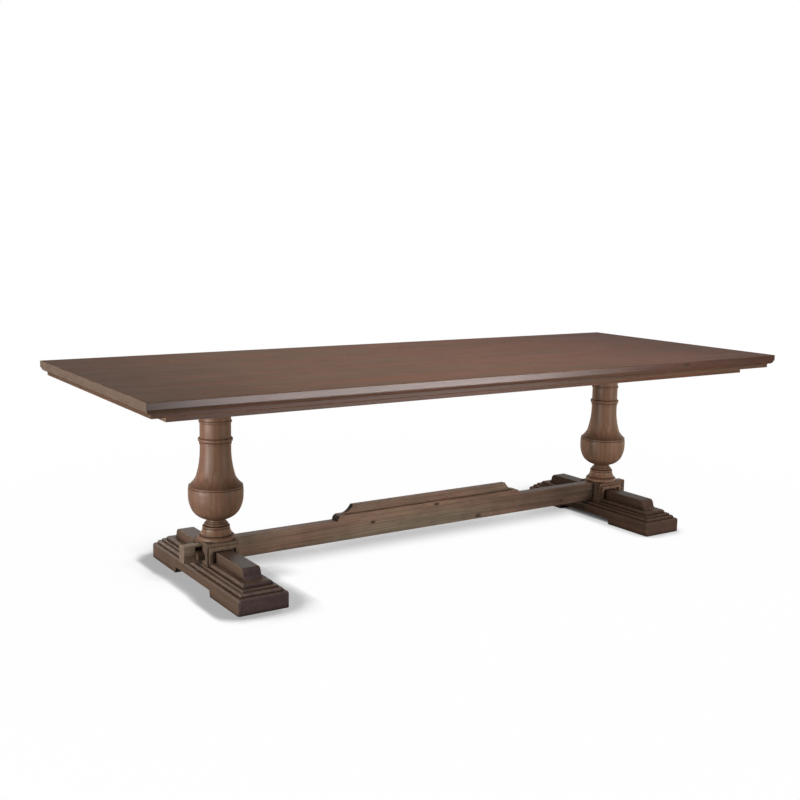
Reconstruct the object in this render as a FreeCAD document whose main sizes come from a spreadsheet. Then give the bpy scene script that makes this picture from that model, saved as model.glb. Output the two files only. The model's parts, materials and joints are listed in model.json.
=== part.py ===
# Trestle dining table in stained hardwood: a plank top with a moulded edge, carried by two turned
# columns on stepped sledge feet, which a keyed stretcher ties together.
# Millimetres. X runs along the table, Y across it and Z up. The origin is on the floor, under the
# middle of the top.
import FreeCAD
import Part
import Sketcher
import math
import os
import re

# Counts
BOARD_COUNT = 7
RAIL_SCREW_COUNT = 8
CREST_SCREW_COUNT = 5

SIZES = {
    # The whole table
    "table_length": 2800,
    "table_width": 1090,
    "table_height": 765,
    "trestle_inset": 456,
    # Top boards and the moulding worked on their outer edges
    "board_thickness": 38,
    "edge_ease": 3,
    "ovolo_height": 14,
    "ovolo_depth": 16,
    "ovolo_quirk": 2.5,
    "spline_thickness": 8,
    "spline_width": 26,
    "spline_stop": 60,
    # Strips under the edge of the top
    "strip_thickness": 16.5,
    "strip_inset": 20.4,
    "strip_ease": 4,
    # Apron, corner blocks and battens
    "apron_inset": 98,
    "apron_thickness": 36,
    "apron_depth": 44,
    "apron_ease": 2,
    "rail_screw_margin": 182,
    "corner_block_leg": 70,
    "corner_block_depth": 40,
    "batten_width": 90,
    "batten_depth": 40,
    # Bearers
    "bearer_width": 120,
    "bearer_depth": 82,
    "bearer_end_depth": 40,
    "bearer_flat_length": 400,
    "bearer_rise_length": 90,
    "bolt_spacing": 64,
    # Feet
    "foot_length": 773,
    "foot_width": 190,
    "base_height": 57.4,
    "base_round": 9,
    "relief_length": 312,
    "relief_height": 23,
    "relief_slope": 5,
    "moulding_height": 19.6,
    "low_step_inset": 15,
    "low_step_height": 12,
    "low_step_round": 8,
    "high_step_inset": 28,
    "high_step_round": 3,
    "ridge_step_inset": 40,
    "ridge_step_height": 13,
    "ridge_step_round": 8,
    "ridge_step_end_inset": 46,
    "ridge_step_end_round": 11,
    "ridge_width": 65,
    "ridge_height": 51,
    "ridge_ease": 3,
    "ridge_end_inset": 76,
    "ridge_nose": 31,
    # Plinths
    "plinth_side": 124,
    "plinth_height": 80,
    "plinth_chamfer": 3,
    "frame_margin": 6,
    "frame_width": 11,
    "frame_proud": 10,
    "frame_height": 69,
    # Columns
    "spigot_radius": 40,
    "spigot_socket": 21,
    "head_spigot_radius": 30,
    "head_spigot_length": 50,
    "disc_radius": 67,
    "disc_step": 3,
    "flank_radius": 57.5,
    "cove_radius": 49,
    "ring_radius": 49.5,
    "small_ring_radius": 43,
    "waist_radius": 33.5,
    "urn_low_radius": 84,
    "urn_radius": 98.5,
    "skirt_radius": 97,
    "skirt_quirk": 1.5,
    "bell_radius": 70.4,
    "neck_radius": 55.5,
    "fillet_radius": 57.5,
    "bead_radius": 62,
    "collar_radius": 59,
    "capital_radius": 75,
    # Stretcher, its crest and keys
    "stretcher_rise": 78,
    "stretcher_depth": 79,
    "stretcher_thickness": 45,
    "stretcher_ease": 2,
    "tenon_thickness": 37,
    "tenon_lift": 8,
    "tenon_height": 61,
    "tenon_reach": 74,
    "tenon_chamfer": 4,
    "mortise_lift": 12,
    "mortise_height": 43,
    "key_draw": 3,
    "key_thickness": 26,
    "key_nose_reach": 22,
    "key_tail": 42,
    "key_nose_height": 18,
    "key_chamfer": 1.5,
    "crest_margin": 431,
    "crest_low_height": 21,
    "crest_nose": 19,
    "crest_setback": 74,
    "crest_high_height": 34,
    "crest_high_thickness": 22,
    "crest_high_flare": 52,
    # Screws, bolts, washers and inserts
    "screw_radius": 2.5,
    "screw_head_radius": 5,
    "screw_head_height": 4,
    "screw_length": 60,
    "foot_screw_radius": 3,
    "foot_screw_head_radius": 6.5,
    "foot_screw_head_height": 4,
    "foot_screw_length": 88,
    "foot_screw_near": 110,
    "foot_screw_far": 240,
    "crest_screw_length": 94,
    "crest_screw_margin": 47,
    "crest_screw_recess": 25,
    "post_screw_radius": 5,
    "post_screw_head_radius": 9,
    "post_screw_head_height": 6.5,
    "post_screw_length": 52,
    "washer_radius": 12,
    "washer_thickness": 2,
    "bolt_radius": 4,
    "bolt_head_radius": 7.5,
    "bolt_head_height": 5.5,
    "insert_radius": 7,
    "insert_length": 20,
    # Clearances and the overrun of every cut
    "joint_clearance": 0.2,
    "hole_clearance": 0.25,
    "pilot_spare": 1,
    "key_clearance": 0.3,
    "overrun": 5,
}

# Arcs are given by their rise as a share of their chord
QUARTER_SHARE = math.tan(math.pi / 8) / 2
BEAD_SHARE = 0.16

# Sizes and levels that follow from the sheet, as formulas
BOARD_WIDTH = f"(table_width / {BOARD_COUNT})"
BOARD_BOTTOM = "(table_height - board_thickness)"
RAIL_GAP_HALF = "(table_width / 2 - apron_inset - apron_thickness)"
RAIL_GAP_HALF_LONG = "(table_length / 2 - apron_inset - apron_thickness)"
RAIL_LINE = "(table_width / 2 - apron_inset - apron_thickness / 2)"
RAIL_LINE_LONG = "(table_length / 2 - apron_inset - apron_thickness / 2)"
CROSS_HALF = f"({RAIL_GAP_HALF} - joint_clearance)"
BOLT_LINE = f"((bearer_flat_length / 2 + bearer_rise_length + {CROSS_HALF}) / 2)"
BEARER_BOTTOM = f"({BOARD_BOTTOM} - bearer_depth)"
RIDGE_BOTTOM = "(base_height + moulding_height)"
PLINTH_TOP = f"({RIDGE_BOTTOM} + plinth_height)"
PLINTH_HALF = "(plinth_side / 2)"
TURNED_HEIGHT = f"({BEARER_BOTTOM} - {PLINTH_TOP})"
SPIGOT_LENGTH = f"({PLINTH_TOP} - base_height + spigot_socket)"
TRESTLE_HALF = "(table_length / 2 - trestle_inset)"
BATTEN_LINE = f"({TRESTLE_HALF} / 2)"
SHOULDER_HALF = f"({TRESTLE_HALF} - {PLINTH_HALF})"
TENON_HALF_LENGTH = f"({TRESTLE_HALF} + {PLINTH_HALF} + tenon_reach)"
KEY_INNER = f"({TRESTLE_HALF} + {PLINTH_HALF} + key_clearance)"
KEY_OUTER = f"({KEY_INNER} + key_thickness)"
TENON_BOTTOM = "(stretcher_rise + tenon_lift)"
CREST_BOTTOM = "(stretcher_rise + stretcher_depth)"
CREST_LOW_HALF = f"({SHOULDER_HALF} - crest_margin)"
CREST_HIGH_HALF = f"({CREST_LOW_HALF} - crest_setback)"
SIDES = (("left", -1), ("right", 1))

doc = FreeCAD.newDocument("trestle_table")
sheet = doc.addObject("Spreadsheet::Sheet", "sizes")
for row, (name, value) in enumerate(SIZES.items(), start=1):
    sheet.set(f"A{row}", name)
    sheet.set(f"B{row}", str(value))
    sheet.setAlias(f"B{row}", name)
doc.recompute()
pieces = []


def formula(text):
    return re.sub("[a-z_]+", lambda word: "sizes." + word[0] if word[0] in SIZES else word[0], text)


def size(text):
    return float(sheet.evalExpression(formula(text)))


def new_body(label, x="0", y="0", z="0", turn=0):
    body = doc.addObject("PartDesign::Body", label)
    body.Label = label
    body.Placement = FreeCAD.Placement(FreeCAD.Vector(), FreeCAD.Rotation(FreeCAD.Vector(0, 0, 1), turn))
    for axis, place in zip("xyz", (x, y, z)):
        body.setExpression(f"Placement.Base.{axis}", formula(place))
    pieces.append(body)
    return body


def new_sketch(body, role, offset="0"):
    plane = next(p for p in body.Origin.OriginFeatures if p.Role == role)
    sketch = body.newObject("Sketcher::SketchObject", body.Name + "_sketch")
    sketch.AttachmentSupport = (plane, "")
    sketch.MapMode = "FlatFace"
    sketch.setExpression("AttachmentOffset.Base.z", formula(offset))
    return sketch


def vertex_at(sketch, edge, spot):
    return min((1, 2), key=lambda end: sketch.getPoint(edge, end).distanceToPoint(spot))


# A closed outline. Each corner is (x, y), reached by a line, or (x, y, bulge share), reached by an
# arc that bulges to the left of its direction where the share is positive.
def outline(sketch, corners):
    spots = [FreeCAD.Vector(size(c[0]), size(c[1]), 0) for c in corners]
    edges = []
    for n, corner in enumerate(corners):
        start, end = spots[n - 1], spots[n]
        if len(corner) == 2:
            edges.append(sketch.addGeometry(Part.LineSegment(start, end)))
        else:
            chord = end - start
            crown = start + chord / 2 + FreeCAD.Vector(-chord.y, chord.x, 0) * corner[2]
            edges.append(sketch.addGeometry(Part.Arc(start, crown, end)))
    for n, corner in enumerate(corners):
        edge, following = edges[n], edges[(n + 1) % len(edges)]
        tip = vertex_at(sketch, edge, spots[n])
        root = vertex_at(sketch, following, spots[n])
        sketch.addConstraint(Sketcher.Constraint("Coincident", edge, tip, following, root))
        for kind, text in zip(("DistanceX", "DistanceY"), corner):
            bind(sketch, Sketcher.Constraint(kind, -1, 1, edge, tip, size(text)), text)
        if len(corner) == 3:
            before = corners[n - 1]
            chord = f"sqrt((({corner[0]}) - ({before[0]}))^2 + (({corner[1]}) - ({before[1]}))^2)"
            share = abs(corner[2])
            radius = f"{chord} * {(share + 1 / (4 * share)) / 2!r}"
            bind(sketch, Sketcher.Constraint("Radius", edge, size(radius)), radius)


def bind(sketch, constraint, text):
    index = sketch.addConstraint(constraint)
    sketch.setExpression(f"Constraints[{index}]", formula(text))


def rectangle(sketch, low_x, low_y, high_x, high_y):
    outline(sketch, [(low_x, low_y), (high_x, low_y), (high_x, high_y), (low_x, high_y)])


def circles(sketch, places, radius):
    for x, y in places:
        centre = FreeCAD.Vector(size(x), size(y), 0)
        ring = sketch.addGeometry(Part.Circle(centre, FreeCAD.Vector(0, 0, 1), size(radius)))
        bind(sketch, Sketcher.Constraint("DistanceX", -1, 1, ring, 3, centre.x), x)
        bind(sketch, Sketcher.Constraint("DistanceY", -1, 1, ring, 3, centre.y), y)
        bind(sketch, Sketcher.Constraint("Radius", ring, size(radius)), radius)


# A cutter's outline beside an edge: each corner is (inset from the edge, height, bulge share)
def cutter(sketch, half, side, corners):
    outline(sketch, [(f"{side} * ({half} - ({c[0]}))", c[1], *(side * b for b in c[2:])) for c in corners])


# The cutter that leaves a profile, given from its foot to its top, on an edge
def profile_cutter(sketch, half, side, profile):
    foot, top = profile[0], profile[-1]
    beyond = [
        (top[0], f"{top[1]} + overrun"),
        ("-overrun", f"{top[1]} + overrun"),
        ("-overrun", "-overrun"),
        (foot[0], "-overrun"),
    ]
    cutter(sketch, half, side, [*profile, *beyond])


# The outline of a bar that has the same profile on both sides
def both_sides(sketch, half, profile):
    right = [(f"({half} - ({p[0]}))", *p[1:]) for p in profile]
    left = []
    for n in reversed(range(len(profile))):
        bulge = profile[n + 1][2:] if n + 1 < len(profile) else ()
        left.append((f"-({half} - ({profile[n][0]}))", profile[n][1], *bulge))
    outline(sketch, right + left)


def pad(body, sketch, depth, symmetric=False, reverse=False):
    feature = body.newObject("PartDesign::Pad", body.Name + "_pad")
    feature.Profile = sketch
    feature.SideType = "Symmetric" if symmetric else "One side"
    feature.Reversed = reverse
    feature.setExpression("Length", formula(depth))
    return feature


# Cuts along the sketch's normal by a depth, or right through both ways where none is given
def pocket(body, sketch, depth=None):
    feature = body.newObject("PartDesign::Pocket", body.Name + "_pocket")
    feature.Profile = sketch
    if depth is None:
        feature.Type = "ThroughAll"
        feature.SideType = "Symmetric"
    else:
        feature.Reversed = True
        feature.setExpression("Length", formula(depth))
    return feature


def drill(body, places, radius, depth=None, level="0"):
    sketch = new_sketch(body, "XY_Plane", level)
    circles(sketch, places, radius)
    return pocket(body, sketch, depth)


# Rounds or chamfers the edges of a body that a test on their two end points picks
def dress(body, kind, amount, wanted):
    doc.recompute()
    base = body.Tip
    names = []
    for number, edge in enumerate(base.Shape.Edges, start=1):
        if len(edge.Vertexes) == 2 and wanted(*(v.Point for v in edge.Vertexes)):
            names.append(f"Edge{number}")
    feature = body.newObject(f"PartDesign::{kind}", f"{body.Name}_{kind.lower()}")
    feature.Base = (base, names)
    feature.setExpression("Radius" if kind == "Fillet" else "Size", formula(amount))
    return feature


def near(a, b):
    return math.isclose(a, b, abs_tol=size("joint_clearance"))


# Top boards. The outer edges of the top carry an eased arris above and an ovolo below.
OVOLO_CUTTER = [
    ("ovolo_depth", "-overrun"),
    ("ovolo_depth", "0"),
    ("ovolo_quirk", "ovolo_height", -QUARTER_SHARE),
    ("-overrun", "ovolo_height"),
    ("-overrun", "-overrun"),
]
ARRIS_CUTTER = [
    ("edge_ease", "board_thickness + overrun"),
    ("edge_ease", "board_thickness"),
    ("0", "board_thickness - edge_ease", QUARTER_SHARE),
    ("-overrun", "board_thickness - edge_ease"),
    ("-overrun", "board_thickness + overrun"),
]
INNER_BOARDS = range(1, BOARD_COUNT - 1)
BOLTED_BOARDS = {1: -1, BOARD_COUNT - 2: 1}
BATTENS = (("left", f"-{BATTEN_LINE}"), ("centre", "0"), ("right", BATTEN_LINE))
RAIL_SCREW_SHARES = [2 * n / (RAIL_SCREW_COUNT - 1) - 1 for n in range(RAIL_SCREW_COUNT)]
RAIL_SCREW_END = "(table_length / 2 - apron_inset - rail_screw_margin)"
RAIL_SCREW_LINES = [f"{share!r} * {RAIL_SCREW_END}" for share in RAIL_SCREW_SHARES]
BOLT_LINES = [f"{side} * {TRESTLE_HALF} + {hand} * bolt_spacing / 2" for _, side in SIDES for hand in (-1, 1)]


def board_line(number):
    return f"{number - (BOARD_COUNT - 1) / 2} * {BOARD_WIDTH}"


def top_board(number):
    body = new_body(f"top_board_{number + 1}", y=board_line(number), z=BOARD_BOTTOM)
    half_width, half_length = f"{BOARD_WIDTH} / 2", "table_length / 2"
    section = new_sketch(body, "YZ_Plane")
    rectangle(section, f"-{half_width}", "0", half_width, "board_thickness")
    pad(body, section, "table_length", symmetric=True)
    ends = new_sketch(body, "XZ_Plane")
    for side in (-1, 1):
        cutter(ends, half_length, side, OVOLO_CUTTER)
        cutter(ends, half_length, side, ARRIS_CUTTER)
    pocket(body, ends)
    outer = {0: -1, BOARD_COUNT - 1: 1}.get(number)
    if outer:
        edge = new_sketch(body, "YZ_Plane")
        cutter(edge, half_width, outer, OVOLO_CUTTER)
        cutter(edge, half_width, outer, ARRIS_CUTTER)
        pocket(body, edge)
    groove_height = "(spline_thickness + 2 * joint_clearance)"
    grooves = new_sketch(body, "XY_Plane", f"(board_thickness - {groove_height}) / 2")
    reach = f"({half_length} - spline_stop + joint_clearance)"
    depth = "(spline_width / 2 + joint_clearance)"
    for side in (-1, 1):
        if side != outer:
            bottom, mouth = f"{side} * ({half_width} - {depth})", f"{side} * ({half_width} + overrun)"
            rectangle(grooves, f"-{reach}", bottom, reach, mouth)
    pocket(body, grooves, groove_height)
    batten_pilot = "screw_length - batten_depth + pilot_spare"
    apron_pilot = "screw_length - apron_depth + pilot_spare"
    pilot_radius = "screw_radius + joint_clearance / 2"
    if number in INNER_BOARDS:
        drill(body, [(line, "0") for _, line in BATTENS], pilot_radius, batten_pilot)
        drill(body, [(f"{side} * {RAIL_LINE_LONG}", "0") for side in (-1, 1)], pilot_radius, apron_pilot)
    else:
        line = f"{outer} * {RAIL_LINE} - {board_line(number)}"
        drill(body, [(x, line) for x in RAIL_SCREW_LINES], pilot_radius, apron_pilot)
    if number in BOLTED_BOARDS:
        line = f"{BOLTED_BOARDS[number]} * {BOLT_LINE} - {board_line(number)}"
        drill(body, [(x, line) for x in BOLT_LINES], "insert_radius", "insert_length + pilot_spare")


# Strips glued under the edge, mitred at the corners, with a round lower arris
STRIP_CUTTER = [
    ("strip_ease", "-overrun"),
    ("strip_ease", "0"),
    ("0", "strip_ease", -QUARTER_SHARE),
    ("-overrun", "strip_ease"),
    ("-overrun", "-overrun"),
]


def edge_strip(label, along_x, side):
    body = new_body(label, z=f"{BOARD_BOTTOM} - strip_thickness")
    length, width = ("table_length", "table_width") if along_x else ("table_width", "table_length")
    outer_half, inner_half = f"({length} / 2 - strip_inset)", f"({length} / 2 - apron_inset)"
    outer_line, inner_line = f"{side} * ({width} / 2 - strip_inset)", f"{side} * ({width} / 2 - apron_inset)"
    corners = [
        (f"-{outer_half}", outer_line),
        (outer_half, outer_line),
        (inner_half, inner_line),
        (f"-{inner_half}", inner_line),
    ]
    plan = new_sketch(body, "XY_Plane")
    outline(plan, corners if along_x else [(y, x) for x, y in corners])
    pad(body, plan, "strip_thickness")
    arris = new_sketch(body, "YZ_Plane" if along_x else "XZ_Plane")
    cutter(arris, f"({width} / 2 - strip_inset)", side, STRIP_CUTTER)
    pocket(body, arris)


# Apron rails: the long ones run the whole length, and the end ones stand between them
APRON_CUTTER = [
    ("apron_ease", "-overrun"),
    ("apron_ease", "0"),
    ("0", "apron_ease", -QUARTER_SHARE),
    ("-overrun", "apron_ease"),
    ("-overrun", "-overrun"),
]


def countersunk(body, places, rail_depth):
    drill(body, places, "screw_radius + hole_clearance", rail_depth)
    drill(body, places, "screw_head_radius + hole_clearance", "screw_head_height")


def apron_rail(label, along_x, side, places):
    body = new_body(label, z=f"{BOARD_BOTTOM} - apron_depth")
    width = "table_width" if along_x else "table_length"
    half = "(table_length / 2 - apron_inset)" if along_x else RAIL_GAP_HALF
    outer_line = f"{side} * ({width} / 2 - apron_inset)"
    inner_line = f"{side} * ({width} / 2 - apron_inset - apron_thickness)"
    plan = new_sketch(body, "XY_Plane")
    if along_x:
        rectangle(plan, f"-{half}", outer_line, half, inner_line)
    else:
        rectangle(plan, outer_line, f"-{half}", inner_line, half)
    pad(body, plan, "apron_depth")
    arris = new_sketch(body, "YZ_Plane" if along_x else "XZ_Plane")
    cutter(arris, f"({width} / 2 - apron_inset)", side, APRON_CUTTER)
    pocket(body, arris)
    countersunk(body, places, "apron_depth")


def corner_block(label, side_x, side_y):
    body = new_body(label, z=f"{BOARD_BOTTOM} - corner_block_depth")
    x, y = f"{side_x} * {RAIL_GAP_HALF_LONG}", f"{side_y} * {RAIL_GAP_HALF}"
    plan = new_sketch(body, "XY_Plane")
    corners = [(x, y), (f"{x} - {side_x} * corner_block_leg", y), (x, f"{y} - {side_y} * corner_block_leg")]
    outline(plan, corners)
    pad(body, plan, "corner_block_depth")


def cross_batten(label, x):
    body = new_body(label, x=x, z=f"{BOARD_BOTTOM} - batten_depth")
    plan = new_sketch(body, "XY_Plane")
    rectangle(plan, "-batten_width / 2", f"-{CROSS_HALF}", "batten_width / 2", CROSS_HALF)
    pad(body, plan, "batten_depth")
    countersunk(body, [("0", board_line(number)) for number in INNER_BOARDS], "batten_depth")


# A bearer is deep over its column and shallow at its ends, where it is bolted to the top
def bearer(label, side):
    body = new_body(label, x=f"{side} * {TRESTLE_HALF}", z=BEARER_BOTTOM)
    rise = "(bearer_depth - bearer_end_depth)"
    flat = "(bearer_flat_length / 2)"
    knee = f"({flat} + bearer_rise_length)"
    right = [(flat, "0"), (knee, rise), (CROSS_HALF, rise), (CROSS_HALF, "bearer_depth")]
    section = new_sketch(body, "YZ_Plane")
    outline(section, right + [(f"-{y}", z) for y, z in reversed(right)])
    pad(body, section, "bearer_width", symmetric=True)
    drill(body, [("0", "0")], "head_spigot_radius + joint_clearance", "head_spigot_length + pilot_spare")
    places = [(f"{a} * bolt_spacing / 2", f"{b} * {BOLT_LINE}") for a in (-1, 1) for b in (-1, 1)]
    drill(body, places, "bolt_radius + hole_clearance", "bearer_depth")


# Feet: a base with a relief between two pads, a stepped moulding, and a ridge before and behind
# the plinth. Profiles give (inset from the base's side, height, bulge share).
MOULDING_PROFILE = [
    ("low_step_inset", "0"),
    ("low_step_inset", "low_step_height - low_step_round"),
    ("low_step_inset + low_step_round", "low_step_height", -QUARTER_SHARE),
    ("high_step_inset", "low_step_height"),
    ("high_step_inset", "moulding_height - high_step_round"),
    ("high_step_inset + high_step_round", "moulding_height", -QUARTER_SHARE),
]
RIDGE_SIDE_INSET = "((foot_width - ridge_width) / 2)"
RIDGE_PROFILE = [
    ("ridge_step_inset", "0"),
    ("ridge_step_inset", "ridge_step_height - ridge_step_round"),
    ("ridge_step_inset + ridge_step_round", "ridge_step_height", -QUARTER_SHARE),
    (RIDGE_SIDE_INSET, "ridge_step_height"),
    (RIDGE_SIDE_INSET, "ridge_height - ridge_ease"),
    (f"{RIDGE_SIDE_INSET} + ridge_ease", "ridge_height", -QUARTER_SHARE),
]
# The ridge's end sweeps up from its step in a hollow and turns over in a round shoulder
END_SETBACK_SHARE = 0.5
END_RISE_SHARE = 0.5
END_HOLLOW_SHARE = 0.13
END_SHOULDER_SHARE = 0.13
RIDGE_END_PROFILE = [
    ("ridge_step_end_inset", "0"),
    ("ridge_step_end_inset", "ridge_step_height - ridge_step_end_round"),
    ("ridge_step_end_inset + ridge_step_end_round", "ridge_step_height", -QUARTER_SHARE),
    ("ridge_end_inset", "ridge_step_height"),
    (
        f"ridge_end_inset + {END_SETBACK_SHARE} * ridge_nose",
        f"ridge_step_height + {END_RISE_SHARE} * (ridge_height - ridge_step_height)",
        END_HOLLOW_SHARE,
    ),
    ("ridge_end_inset + ridge_nose", "ridge_height", -END_SHOULDER_SHARE),
]
FOOT_SCREW_LINES = [f"{side} * {line}" for line in ("foot_screw_near", "foot_screw_far") for side in (-1, 1)]
FOOT_SCREW_PLACES = [("0", line) for line in FOOT_SCREW_LINES]
SPIGOT_HOLE = "spigot_radius + joint_clearance"
FOOT_SCREW_HOLE = "foot_screw_radius + hole_clearance"


def foot_base(label, side):
    body = new_body(label, x=f"{side} * {TRESTLE_HALF}")
    heel, crown = "(relief_length / 2)", "(relief_length / 2 - relief_slope)"
    toe = "foot_length / 2"
    right = [(crown, "relief_height"), (heel, "0"), (toe, "0"), (toe, "base_height")]
    section = new_sketch(body, "YZ_Plane")
    outline(section, right + [(f"-{y}", z) for y, z in reversed(right)])
    pad(body, section, "foot_width", symmetric=True)
    top, end = size("base_height"), size("foot_length / 2")

    def outer_arris(a, b):
        on_top = near(a.z, top) and near(b.z, top)
        corner = near(abs(a.y), end) and near(abs(b.y), end) and not near(a.z, b.z)
        return on_top or corner

    dress(body, "Fillet", "base_round", outer_arris)
    drill(body, [("0", "0")], SPIGOT_HOLE, "spigot_socket + overrun", "base_height - spigot_socket")
    drill(body, [("0", "0")], "post_screw_radius + hole_clearance", "base_height")
    drill(body, FOOT_SCREW_PLACES, FOOT_SCREW_HOLE, "base_height")
    far = [place for place in FOOT_SCREW_PLACES if "far" in place[1]]
    drill(body, far, "foot_screw_head_radius + hole_clearance", "relief_height")


def foot_moulding(label, side):
    body = new_body(label, x=f"{side} * {TRESTLE_HALF}", z="base_height")
    section = new_sketch(body, "XZ_Plane")
    both_sides(section, "foot_width / 2", MOULDING_PROFILE)
    pad(body, section, "foot_length", symmetric=True)
    ends = new_sketch(body, "YZ_Plane")
    for end in (-1, 1):
        profile_cutter(ends, "foot_length / 2", end, MOULDING_PROFILE)
    pocket(body, ends)
    drill(body, [("0", "0")], SPIGOT_HOLE, "moulding_height")
    drill(body, FOOT_SCREW_PLACES, FOOT_SCREW_HOLE, "moulding_height")


def foot_ridge(label, side, turn):
    body = new_body(label, x=f"{side} * {TRESTLE_HALF}", z=RIDGE_BOTTOM, turn=turn)
    section = new_sketch(body, "XZ_Plane", PLINTH_HALF)
    both_sides(section, "foot_width / 2", RIDGE_PROFILE)
    pad(body, section, f"foot_length / 2 - {PLINTH_HALF}")
    end = new_sketch(body, "YZ_Plane")
    profile_cutter(end, "foot_length / 2", -1, RIDGE_END_PROFILE)
    pocket(body, end)
    places = [("0", "-foot_screw_near"), ("0", "-foot_screw_far")]
    pilot = f"relief_height + foot_screw_length - {RIDGE_BOTTOM} + pilot_spare"
    drill(body, places, "foot_screw_radius + joint_clearance / 2", pilot)


# A plinth is bored for the column's spigot, mortised for the stretcher's tenon, and framed on its
# front and back faces where the ridges meet it
def plinth(label, side):
    body = new_body(label, x=f"{side} * {TRESTLE_HALF}", z=RIDGE_BOTTOM)
    plan = new_sketch(body, "XY_Plane")
    rectangle(plan, f"-{PLINTH_HALF}", f"-{PLINTH_HALF}", PLINTH_HALF, PLINTH_HALF)
    pad(body, plan, "plinth_height")
    top = size("plinth_height")
    dress(body, "Chamfer", "plinth_chamfer", lambda a, b: near(a.z, top) and near(b.z, top))
    outer = f"({PLINTH_HALF} - frame_margin)"
    inner = f"({PLINTH_HALF} - frame_margin - frame_width)"
    right = [
        (inner, "ridge_step_height"),
        (outer, "ridge_step_height"),
        (outer, "frame_height"),
    ]
    left = [(f"-{x}", z) for x, z in reversed(right)]
    head = [(f"-{inner}", "frame_height - frame_width"), (inner, "frame_height - frame_width")]
    for face in (-1, 1):
        frame = new_sketch(body, "XZ_Plane", f"{-face} * {PLINTH_HALF}")
        outline(frame, right + left + head)
        pad(body, frame, "frame_proud", reverse=face > 0)
    drill(body, [("0", "0")], SPIGOT_HOLE, "plinth_height + overrun")
    mortise = new_sketch(body, "YZ_Plane")
    tenon_mortise(mortise, RIDGE_BOTTOM)
    pocket(body, mortise)


def tenon_mortise(sketch, level):
    half = "(tenon_thickness / 2 + joint_clearance)"
    low = f"({TENON_BOTTOM} - joint_clearance - {level})"
    high = f"({low} + tenon_height + 2 * joint_clearance)"
    rectangle(sketch, f"-{half}", low, half, high)


# Columns. The turned outline climbs from the plinth to the bearer: (share of the turned height,
# radius, bulge share).
TURNING_SHARES = [
    (0.0, "disc_radius - disc_step"),
    (0.017, "disc_radius", -BEAD_SHARE),
    (0.037, "flank_radius + disc_step", -BEAD_SHARE),
    (0.039, "flank_radius - disc_step / 2"),
    (0.042, "flank_radius - disc_step / 2"),
    (0.044, "flank_radius"),
    (0.088, "cove_radius", 0.06),
    (0.090, "ring_radius - disc_step"),
    (0.0985, "ring_radius", -QUARTER_SHARE),
    (0.107, "ring_radius - disc_step", -QUARTER_SHARE),
    (0.108, "small_ring_radius - disc_step"),
    (0.110, "small_ring_radius - disc_step"),
    (0.1175, "small_ring_radius", -QUARTER_SHARE),
    (0.125, "small_ring_radius - disc_step", -QUARTER_SHARE),
    (0.126, "waist_radius + disc_step"),
    (0.136, "waist_radius + disc_step"),
    (0.143, "waist_radius", 0.1),
    (0.150, "waist_radius"),
    (0.156, "waist_radius + disc_step"),
    (0.2195, "urn_low_radius", -0.1),
    (0.344, "urn_radius", -0.07),
    (0.392, "skirt_radius + skirt_quirk / 2", -0.03),
    (0.395, "skirt_radius - skirt_quirk"),
    (0.399, "skirt_radius - skirt_quirk"),
    (0.401, "skirt_radius"),
    (0.408, "skirt_radius"),
    (0.475, "bell_radius", 0.06),
    (0.670, "neck_radius", 0.036),
    (0.713, "neck_radius"),
    (0.7155, "fillet_radius"),
    (0.728, "fillet_radius"),
    (0.732, "neck_radius + disc_step / 4"),
    (0.748, "bead_radius", -QUARTER_SHARE),
    (0.764, "neck_radius + disc_step / 4", -QUARTER_SHARE),
    (0.767, "neck_radius"),
    (0.872, "neck_radius"),
    (0.8815, "collar_radius", -QUARTER_SHARE),
    (0.891, "neck_radius", -QUARTER_SHARE),
    (0.93, "neck_radius"),
    (0.972, "capital_radius - disc_step", 0.17),
    (0.978, "capital_radius"),
    (1.0, "capital_radius"),
]


def column(label, side):
    body = new_body(label, x=f"{side} * {TRESTLE_HALF}", z=PLINTH_TOP)
    foot = [("0", f"-{SPIGOT_LENGTH}"), ("spigot_radius", f"-{SPIGOT_LENGTH}"), ("spigot_radius", "0")]
    turned = [(radius, f"{share} * {TURNED_HEIGHT}", *bulge) for share, radius, *bulge in TURNING_SHARES]
    head_top = f"({TURNED_HEIGHT} + head_spigot_length)"
    head = [("head_spigot_radius", TURNED_HEIGHT), ("head_spigot_radius", head_top), ("0", head_top)]
    section = new_sketch(body, "XZ_Plane")
    outline(section, foot + turned + head)
    turning = body.newObject("PartDesign::Revolution", label + "_turning")
    turning.Profile = section
    turning.ReferenceAxis = (section, ["V_Axis"])
    turning.Angle = 360
    mortise = new_sketch(body, "YZ_Plane")
    tenon_mortise(mortise, PLINTH_TOP)
    pocket(body, mortise)
    pilot = "relief_height + post_screw_length - base_height + spigot_socket + pilot_spare"
    drill(body, [("0", "0")], "post_screw_radius + joint_clearance / 2", pilot, f"-{SPIGOT_LENGTH}")


# The stretcher's tenons pass through the plinths and are mortised for the keys
CREST_SCREW_SHARES = [2 * n / (CREST_SCREW_COUNT - 1) - 1 for n in range(CREST_SCREW_COUNT)]
CREST_SCREW_END = f"({CREST_HIGH_HALF} - crest_screw_margin)"
CREST_SCREW_PLACES = [(f"{share!r} * {CREST_SCREW_END}", "0") for share in CREST_SCREW_SHARES]


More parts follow.
